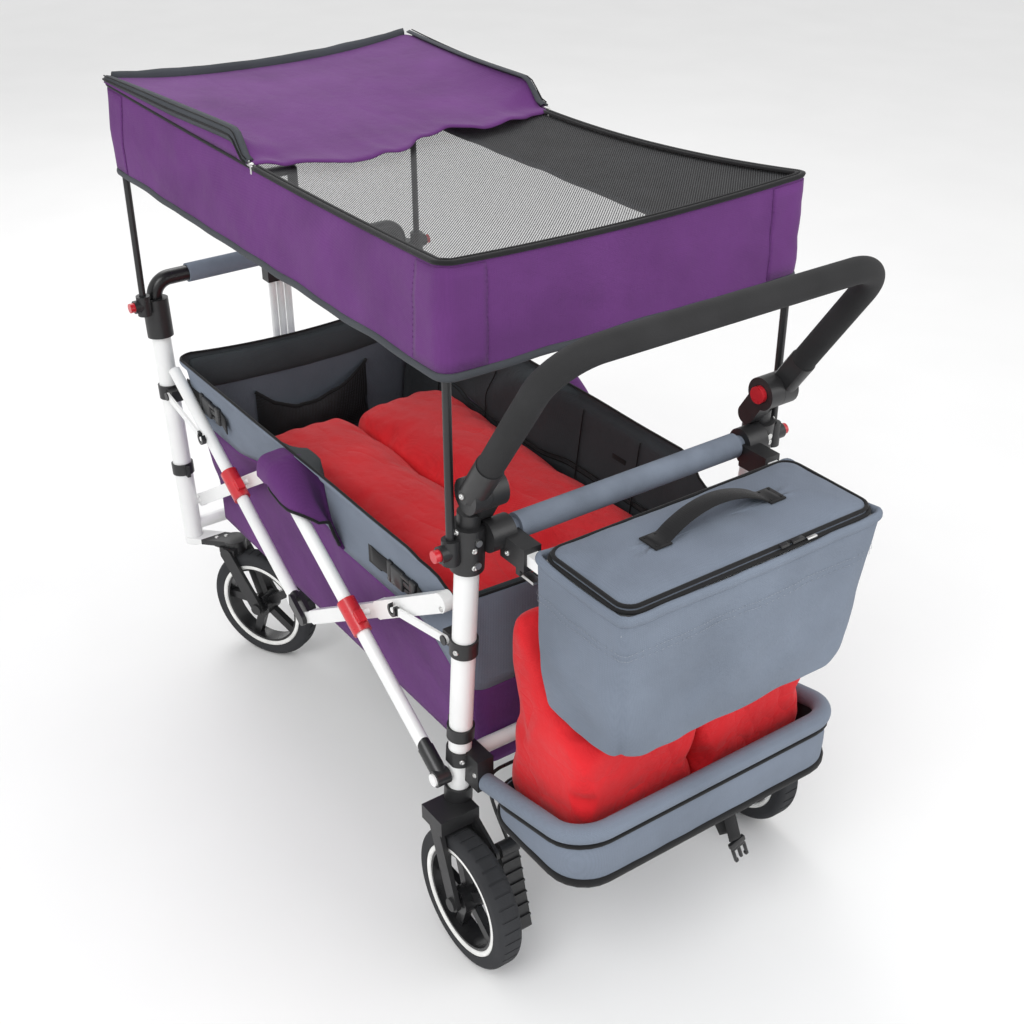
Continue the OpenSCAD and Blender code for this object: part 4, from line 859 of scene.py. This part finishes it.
# Hoods over the upper joints: sewn to the band, draped over the round bar, open below and behind
BAR_Y = 262
for sy, side in SIDES:
    rows = []
    for i in range(27):
        x = 24 - 132 * i / 26
        high = 583 + BAR_SLOPE * min(0.0, x + 12)
        sewn = 582 if x > -8 else 582 + 1.2 * (x + 8)
        wall = max(side_y(x, sewn), 208) + 2.0
        over = BAR_Y - wall
        line = [(wall, sewn), (wall + 0.15 * over, sewn + 1.5), (wall + 0.55 * over, max(sewn + 2, high - 4)),
                (wall + 0.82 * over, max(sewn + 1, high - 1)), (BAR_Y, high), (274, high - 1), (282, high - 5),
                (286, high - 13), (287.5, high - 25), (288, high - 40), (287.5, high - 52)]
        reach = float(np.interp(x, (-108, -92, -74, -48, -24, 24), (0.52, 0.60, 0.68, 0.78, 0.83, 0.80)))
        lengths = [0.0]
        for a, b in zip(line, line[1:]):
            lengths.append(lengths[-1] + math.hypot(b[0] - a[0], b[1] - a[1]))
        row = []
        for k in range(15):
            q = reach * lengths[-1] * k / 14
            y = float(np.interp(q, lengths, [c[0] for c in line]))
            z = float(np.interp(q, lengths, [c[1] for c in line]))
            d = 1.5 * wob(x, y, z, 30, 2.2 * sy)
            row.append((x, sy * (y + max(-0.6, d) * (k > 5)), z + max(-0.4, d) * 0.5))
        rows.append(row)
    flap = tub_piece(soften(thicken(skin("tub_flap_" + side, rows, purple), 1.6, 0.0)))
    edge = [r[-1] for r in rows[8:]] + rows[-1][-2:2:-1]
    tub_piece(tube("tub_flap_hem_" + side, edge, 2.0, binding, 8, False, 1.3))


def buckle(name, x, z, sy):
    """A side-release buckle lying along the band: square patch, webbing, then the two halves."""
    def at(u, w=0.0, out=3.0):
        return (x - u, sy * (side_y(x - u, z + w) + out), z + w)

    def web(line):
        return ribbon("b", line, (0, 0, 1), 26, 2.0, webbing)

    parts = [round_box("b", (34, 2.6, 38), at(0, 0, 1.7), webbing, 0.9)]
    parts.append(web([at(-8 + 8 * k, 0, 3.6 + 1.4 * math.sin(0.6 * k)) for k in range(8)]))
    for size, place, r in (((12, 7.5, 35), (49, 0, 5.2), 2.4), ((31, 9.0, 32), (70, 0, 5.6), 3.2),
                           ((23, 7.0, 6.5), (93, -11, 5.4), 2.2), ((23, 7.0, 6.5), (93, 11, 5.4), 2.2),
                           ((21, 6.0, 9), (93, 0, 5.4), 2.0), ((16, 8.5, 31), (110, 0, 5.6), 3.0)):
        parts.append(round_box("b", size, at(*place), gloss_black, r))
    parts.append(web([at(114 + 6 * k, -1.2 * k, 4.2 + 0.9 * k) for k in range(6)]))
    return join(name, parts)


for sy, side in SIDES:
    for end, x, z in (("front", 398, 522), ("rear", -205, 505)):
        tub_piece(buckle(f"tub_buckle_{end}_{side}", x, z, sy))


# Cushions: a rounded block, swollen by cloth pressure
def get_points(o):
    co = np.empty(len(o.data.vertices) * 3)
    o.data.vertices.foreach_get("co", co)
    return co.reshape(-1, 3)


def set_points(o, co):
    o.data.vertices.foreach_set("co", co.ravel())
    o.data.update()


def block(name, at, half, power, shape, mat, voxel):
    mesh = bpy.data.meshes.new(name)
    bm = bmesh.new()
    bmesh.ops.create_cube(bm, size=2.0)
    bmesh.ops.subdivide_edges(bm, edges=bm.edges, cuts=23, use_grid_fill=True)
    for vert in bm.verts:
        c = vert.co
        k = (abs(c.x) ** power + abs(c.y) ** power + abs(c.z) ** power) ** (-1 / power)
        vert.co = Vector(metres(shape(*(c[i] * k * half[i] + at[i] for i in range(3)))))
    bm.to_mesh(mesh)
    bm.free()
    mesh.materials.append(mat)
    o = add_object(name, mesh)
    m = o.modifiers.new("voxels", "REMESH")
    m.mode = "VOXEL"
    m.voxel_size = voxel * MM
    m.use_smooth_shade = True
    bake(o)
    if not o.data.materials:
        o.data.materials.append(mat)
    return o


def swell(o, pressure, cap, frames=18, tension=8.0):
    """Inflates the block as sewn cloth and keeps every point within cap of where it started."""
    before = get_points(o)
    m = o.modifiers.new("cloth", "CLOTH")
    s = m.settings
    s.quality = 5
    s.mass = 0.25
    s.tension_stiffness = tension
    s.compression_stiffness = tension
    s.shear_stiffness = tension * 0.4
    s.bending_stiffness = 0.25
    s.use_pressure = True
    s.uniform_pressure_force = pressure
    s.shrink_min = -0.07
    s.effector_weights.gravity = 0.0
    m.collision_settings.use_collision = False
    m.point_cache.frame_start = 1
    m.point_cache.frame_end = frames
    for n in range(1, frames + 1):
        scene.frame_set(n)
    swollen = evaluated_mesh(o)
    o.modifiers.clear()
    if len(swollen.vertices) == len(before):
        after = np.empty(before.size)
        swollen.vertices.foreach_get("co", after)
        move = after.reshape(-1, 3) - before
        length = np.linalg.norm(move, axis=1)
        length[~np.isfinite(length)] = 1e9
        move[~np.isfinite(move).all(axis=1)] = 0
        move *= np.minimum(1.0, cap * MM / np.maximum(length, 1e-9))[:, None]
        set_points(o, before + move)
    scene.frame_set(1)
    o.data.update()
    return o


def bed_shape(seed):
    def shape(x, y, z):
        top = smooth01((z - 320) / 130)
        end = smooth01((x - 110) / 140)
        ripple = top * (2.4 * wob(x * 0.6, y, 0, 110, seed) + 2.6 * wob(x * 0.35, y, 0, 36, seed + 2))
        pucker = end * top * (5.5 * math.sin(y * 0.17 + seed) + 4.0 * wob(x, y, 0, 18, seed + 4))
        out = 8 * end * wob(0, y, z, 26, seed)
        return x + out, y + 2.5 * wob(x, 0, z, 80, seed + 5), z + ripple + 0.6 * pucker
    return shape


def finish_cushion(o):
    m = o.modifiers.new("calm", "SMOOTH")
    m.factor = 0.4
    m.iterations = 2
    bake(o)
    o.data.polygons.foreach_set("use_smooth", [True] * len(o.data.polygons))
    soften(o)


BED_LOW, BED_HIGH = np.array((-424, -93.5, 268)), np.array((272, 93.5, 502))
TO_ORIGIN = np.array((SHIFT, 0, 0))
for (sy, side), seed in zip(SIDES, (1.3, 4.9)):
    middle = np.array((0, sy * 95, 0))
    o = block("bed_cushion_" + side, (-76, sy * 95, 379), (342, 92, 109), 6.5, bed_shape(seed), red_cloth, 8.5)
    swell(o, 3.2, 13.0)
    low, high = ((corner + middle + TO_ORIGIN) * MM for corner in (BED_LOW, BED_HIGH))
    set_points(o, np.minimum(np.maximum(get_points(o), low), high))
    tub_piece(o, "bed_cushion")
    finish_cushion(o)


STUFF_LOW = 256


def stuff_top(x):
    """Height of the basket cushions: lower under the cooler bag."""
    if x > -556:
        return 556 - 98 * smooth01((-510 - x) / 46)
    return 455 - 22 * (-556 - x) / 100


def stuff_shape(seed):
    def shape(x, y, z):
        f = (z - STUFF_LOW) / 276
        top = stuff_top(min(-500, max(-656, x)))
        dents = 4.5 * wob(x, y, 0, 55, seed) + 3.0 * wob(x - y, 0.3 * z, 0, 24, seed + 1) - 2.5
        side = 3.5 * wob(x * 0.7, 0, z - x, 42, seed + 3)
        high = STUFF_LOW + f * (top - STUFF_LOW) + smooth01((f - 0.3) / 0.4) * dents
        return x + 2.5 * wob(0, y, z, 36, seed + 6), y + side, high
    return shape


for (sy, side), seed in zip(SIDES, (2.7, 7.7)):
    o = block("basket_cushion_" + side, (-573, sy * 99, 394), (82, 96, 138), 9.0, stuff_shape(seed),
              red_cloth, 7.0)
    swell(o, 3.0, 7.0)
    # The space that the basket, the cooler bag and the rear frame leave
    co = get_points(o) * 1000 - TO_ORIGIN
    co[:, 0] = np.clip(co[:, 0], -657, np.where(co[:, 2] < 315, -497, -487))
    co[:, 1] = np.clip(co[:, 1], min(sy * 1.5, sy * 198), max(sy * 1.5, sy * 198))
    co[:, 2] = np.clip(co[:, 2], 255.5, np.where(co[:, 0] < -553, 457, 562))
    set_points(o, (co + TO_ORIGIN) * MM)
    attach(o, "rear_frame")
    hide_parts("basket_cushion")
    finish_cushion(o)


# Cooler bag
BAG_REAR, BAG_FRONT, BAG_HALF_Y = -736, -562, 210
BAG_MID, BAG_HALF_X = -649, 87
BAG_LOW, BAG_DEEP = 461, 214
BAG = ring_path(BAG_REAR, BAG_FRONT, BAG_HALF_Y, 14, 10)


def bag_point(q, t):
    """A point of the bag's wall: t is 0 at the bottom and 1 at the rim."""
    x, y, nx, ny = q
    z = BAG_LOW + BAG_DEEP * t
    to_end = min(abs(x - BAG_REAR), abs(x - BAG_FRONT))
    near = max(0.0, 1 - max(to_end, BAG_HALF_Y - abs(y)) / 55) ** 2
    loose = (1 - t) ** 0.7
    foot = max(0.0, 1 - t / 0.08)
    inset = 9 * (1 - t) ** 1.3 + 6 * (1 - math.sqrt(max(0.0, 1 - foot * foot)))
    belly = math.sin(math.pi * t) * (3.0 + 5.0 * wob(x, y, 0.6 * z, 80, 3.3))
    belly += (1.4 + 0.8 * t) * wob(x, y, z, 34, 1.1)
    drape = 3.6 * wob(x + 0.8 * z, y + 0.8 * z, 0.2 * z, 52, 7.1)
    drape += 2.4 * wob(x - 0.9 * z, y - 0.9 * z, 0, 33, 2.6)
    d = belly + loose * drape - 3.0
    if t > 0.86:
        d = max(d, -2.5)
    blunt = (17 if x < BAG_MID else -1) * near * loose
    x = BAG_MID + (x - BAG_MID) * (1 - inset / BAG_HALF_X) + blunt
    y = y * (1 - inset / BAG_HALF_Y) - math.copysign(abs(blunt), y)
    return x + nx * d, y + ny * d, z + (2.5 * wob(x, y, 0, 55, 5.0) + 5 * near if t == 1.0 else 0.0)


rows = []
for shrink in (0.35, 0.7, 0.92):
    row = []
    for q in BAG:
        x, y, z = bag_point(q, 0.0)
        row.append((BAG_MID + (x - BAG_MID) * shrink, y * (0.5 + 0.5 * shrink),
                    459.5 + 1.5 * shrink + 1.2 * wob(x, y, 0, 40, 2.0)))
    rows.append(row)
rows += [[bag_point(q, t) for q in BAG] for t in [0.012, 0.03] + [k / 18 for k in range(1, 19)]]
bag = soften(thicken(skin("cooler_bag_cloth", rows, [grey_cloth, dark_cloth], True, 1), 2.2, -1.0, 1))
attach(bag, "cooler")
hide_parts("cooler_bag")
rim = [(x - q[2] * 1.5, y - q[3] * 1.5, z + 3.0) for q, (x, y, z) in zip(BAG, rows[-1])]
hem = tube("cooler_bag_hem", rim, 4.6, grey_cloth, 12, True, 1.5)
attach(hem, "cooler")
parts = []
for t in (0.815, 0.775):
    for a, b in ((0, len(BAG) // 2), (len(BAG) // 2, len(BAG))):
        run = []
        for q in BAG[a:b]:
            x, y, z = bag_point(q, t)
            run.append((x + q[2] * 1.2, y + q[3] * 1.2, z - 5 * abs(q[2] * q[3])))
        for p0, p1, q in zip(run, run[1:], BAG[a:b]):
            parts.append(stitches("seam", [p0, p1], 5.0, 0.8, pale_thread, (q[2], q[3], 0)))
seams = join("cooler_bag_seams", parts)
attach(seams, "cooler")

# Lid: padded top inside the bag's rim, with a double zip round it
LX0, LX1, LHY = -725, -573, 199
LID_MID, LID_HALF = (LX0 + LX1) / 2, (LX1 - LX0) / 2
LID_PROFILE = ((70, 680), (30, 680), (3, 680), (0, 683), (0.5, 688), (3, 692), (8, 695.5), (16, 698.5), (28, 701),
               (44, 703), (62, 704), (75, 704.2))
path = ring_path(LX0, LX1, LHY, 22, 11)
rows = []
for inset, z in LID_PROFILE:
    row = []
    for x, y, nx, ny in path:
        x = LID_MID + (x - LID_MID) * max(0.02, 1 - inset / LID_HALF)
        y = y * max(0.02, 1 - inset / LHY)
        puff = 2.2 * wob(x, y, 0, 46, 2.0) + 1.2 * wob(x, y, 0, 20, 4.0) if z > 690 else 0.0
        row.append((x, y, z + puff))
    rows.append(row)
lid = skin("cooler_lid_pad", rows, grey_cloth, True, 2)
soften(lid)
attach(lid, "cooler_lid")
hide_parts("cooler_lid")
zips = []
for out, z in ((2.0, 685.5), (-1.6, 691.5)):
    line = [(x + nx * out, y + ny * out, z) for x, y, nx, ny in path]
    zips.append(tube("zip", line, 2.9, binding, 8, True, 0.9))
zips.append(round_box("pull", (7, 20, 4), (-727, -62, 692.5), gloss_black, 1.4))
zips.append(round_box("pull", (5, 16, 3), (-731, -82, 691.5), steel, 1.2))
zips.append(round_box("pull", (7, 14, 4), (-727, -40, 692.5), gloss_black, 1.4))
zips = join("cooler_lid_zip", zips)
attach(zips, "cooler_lid")
line = []
for k in range(37):
    s = k / 36
    lift = 24 * math.sin(math.pi * (s - 0.1) / 0.8) ** 0.75 if 0.1 < s < 0.9 else 0
    line.append((-648 + 4 * math.sin(3.0 * s), 98 - 196 * s, 706.5 + lift))
strap = ribbon("cooler_lid_strap", line, (1, 0, 0), 28, 2.6, webbing)
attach(strap, "cooler_lid")
patches = [round_box("patch", (32, 26, 2.6), (-648, sy * 92, 706.0), webbing, 1.0) for sy in (1, -1)]
for sy in (1, -1):
    for dx, dy in ((-11, -8), (11, -8), (-11, 8), (11, 8)):
        patches.append(round_box("stud", (3.2, 3.2, 1.8), (-648 + dx, sy * 92 + dy, 707.6), binding, 0.8))
patches = join("cooler_strap_patches", patches)
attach(patches, "cooler_lid")

# Rear basket cloth
BX0, BX1, BHY = -694.5, -491.5, 233.5


BASKET_LOW = 251


def basket_rim(x):
    return 292 + (-488 - x) * math.tan(math.radians(12)) - 13.5


rows = []
path = ring_path(BX0, BX1, BHY, 54, 12)
for t, shrink in [(0.0, -70), (0.0, -34), (0.0, -10)] + [(k / 10, 0) for k in range(11)]:
    row = []
    for x, y, nx, ny in path:
        z = BASKET_LOW + (basket_rim(x) - BASKET_LOW) * t
        d = shrink
        if not shrink:
            d = (2.5 + 3.0 * wob(x, y, z, 50, 4.4) + 1.6 * wob(x, y, 0.4 * z, 21, 6.6)) * math.sin(math.pi * t)
        if nx > 0.5:
            d = min(d, 0.0)
        row.append((x + nx * d, y + ny * d, z))
    rows.append(row)
tray = soften(thicken(skin("basket_cloth", rows, [grey_cloth, dark_cloth], True, 1), 2.2, -1.0, 1))
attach(tray, "rear_frame")
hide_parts("basket_fabric")
parts = []
for row, out, up, r, sides, flat in ((rows[3], 0.8, 4.0, 3.4, 10, 2.0), (rows[-1], 1.2, -2, 2.6, 8, 1.4)):
    line = [(x + q[2] * out, y + q[3] * out, z + up) for (x, y, z), q in zip(row, path)]
    parts.append(tube("piping", line, r, binding, sides, True, flat))
piping = join("basket_piping", parts)
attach(piping, "rear_frame")
# Strap and the pronged half of its buckle under the rear edge
lean = Matrix.Rotation(math.radians(-16), 3, "X") @ Matrix.Rotation(math.radians(8), 3, "Y")
long_end = [(-692 - 1.0 * k, -30 - 1.2 * k, 252 - 6.0 * k) for k in range(9)]
short_end = [(-684 - 0.6 * k, -16 - 2.2 * k, 250 - 5.6 * k) for k in range(8)]
parts = [ribbon("strap", long_end, (0.1, 1, 0), 20, 1.8, webbing),
         ribbon("strap", short_end, (0.3, 1, 0), 18, 1.8, webbing)]
base = Vector((-701, -42, 199))
for size, off in (((7, 27, 9), (0, 0, 0)), ((6, 22, 7), (0, 0, -6)), ((5, 5, 22), (0, 0, -18)),
                  ((5.5, 4.5, 22), (0, -10, -18)), ((5.5, 4.5, 22), (0, 10, -18)),
                  ((6, 6, 6), (0, -9, -28)), ((6, 6, 6), (0, 9, -28))):
    parts.append(round_box("prong", size, base + lean @ Vector(off), gloss_black, 1.8, lean))
strap = join("basket_strap", parts)
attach(strap, "rear_frame")


# Pale rings on the wheels: radius and share of the half width
RING_PROFILE = ((76.0, 0.82), (76.4, 0.93), (78.2, 0.985), (81.5, 1.0), (83.3, 0.96), (83.8, 0.86))


def turned(centre, normal, hint):
    """Gives the points round an axis, by height along it, radius and angle."""
    n = Vector(normal).normalized()
    a = n.cross(Vector(hint)).normalized()
    b = n.cross(a)
    c = Vector(centre)
    return lambda h, r, q: tuple(c + n * h + (a * math.cos(q) + b * math.sin(q)) * r)


def wheel_ring(name, centre, normal, half, body):
    at = turned(centre, normal, (0, 0, 1))
    parts = []
    for s in (-1, 1):
        rows = [[at(s * h * half, r, q) for q in circle(96)] for r, h in RING_PROFILE]
        parts.append(skin("ring", rows, white_plastic, True))
    o = join(name, parts)
    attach(o, body)


# The front wheels trail their swivels, turned as in the photo
TRAIL = 58
AXLE_Z = 105
turn = math.radians(27)
for sy, side in SIDES:
    wheel_ring("rear_wheel_ring_" + side, (-494, sy * 261, AXLE_Z), (0, 1, 0), 19, "rear_wheel_" + side)
    c = (380 - TRAIL * math.cos(turn), sy * 187 - TRAIL * math.sin(turn), AXLE_Z)
    wheel_ring("front_wheel_ring_" + side, c, (-math.sin(turn), math.cos(turn), 0), 17, "front_wheel_" + side)


# Bright screws in the castings and joints: share of the radius, height, and whether in the six-sided socket
SCREW_PROFILE = ((1.0, -1.0, 0), (1.0, 0.9, 0), (0.88, 1.6, 0), (0.62, 2.0, 0), (0.5, 2.0, 1), (0.48, 0.6, 1),
                 (0.05, 0.5, 0))
SCREW_R = 3.9


def screw(centre, normal):
    at = turned(centre, normal, (0.3, 0.2, 1))
    rows = []
    for share, h, socket in SCREW_PROFILE:
        row = []
        for w in circle(24):
            flat = math.cos(math.pi / 6) / math.cos((w % (math.pi / 3)) - math.pi / 6) if socket else 1.0
            row.append(at(h, SCREW_R * share * flat, w))
        rows.append(row)
    return skin("screw", rows, steel, True)


SCREWS = {
    "rear_frame": [((-494.5, 244.4, 667.9), (-0.97, 0.22, -0.08)), ((-492.5, 243.5, 642.3), (-0.97, 0.22, -0.08)),
                   ((-480.5, 261.3, 693.4), (-0.24, 0.97, -0.02)), ((-514, 210, 663.5), (0, 1, 0)),
                   ((-460.8, 247.6, 316), (-0.91, 0.4, -0.08)), ((-481.1, 241, 304), (0, 1, 0)),
                   ((-466.8, 257.4, 505.3), (-0.43, 0.9, -0.04))],
    "push_handle": [((-503.5, 267.4, 756), (-0.09, 0.99, -0.06))],
    "front_frame": [((395.4, 195.8, 226), (0, 0, 1)), ((400, 212, 226), (0, 0, 1))],
    "rear_upper": [((-419.8, 248, 542.9), (0, 1, 0))],
}
for body, places in SCREWS.items():
    parts = [screw((p[0], sy * p[1], p[2]), (d[0], sy * d[1], d[2])) for p, d in places for sy in (1, -1)]
    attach(join(body + "_bright_screws", parts), body)

# Floor and light
floor_mesh = bpy.data.meshes.new("floor")
corners = [(30 * x, 30 * y, -0.0005) for x, y in ((-1, -1), (1, -1), (1, 1), (-1, 1))]
floor_mesh.from_pydata(corners, [], [(0, 1, 2, 3)])
ground = add_object("floor", floor_mesh)
m, tree, shader = material("floor_white", (0.86, 0.86, 0.86), 0.6)
patches = ramp(tree, noise_tex(tree, coords(tree), 3.0, 2.0), 0.3, 0.7, (0.85,) * 3, (0.87,) * 3)
wire(shader, "Base Color", patches)
wire(shader, "Specular IOR Level", 0.2)
floor_mesh.materials.append(m)

world = bpy.data.worlds.new("world")
scene.world = world
world.use_nodes = True
bg = world.node_tree.nodes["Background"]
wire(bg, "Color", (1, 1, 1, 1))
wire(bg, "Strength", 0.85)


def lamp(name, at, aim, size, power):
    data = bpy.data.lights.new(name, "AREA")
    data.shape = "RECTANGLE"
    data.size = size
    data.size_y = size
    data.energy = power
    o = add_object(name, data)
    o.location = at
    o.rotation_euler = (Vector(aim) - Vector(at)).to_track_quat("-Z", "Y").to_euler()


lamp("key", (-1.6, 2.6, 3.4), (0, 0, 0.5), 2.2, 66)
lamp("fill", (-2.8, -1.6, 2.2), (0, 0, 0.5), 2.4, 32)
lamp("rim", (2.6, -0.6, 3.0), (0, 0, 0.6), 2.0, 34)
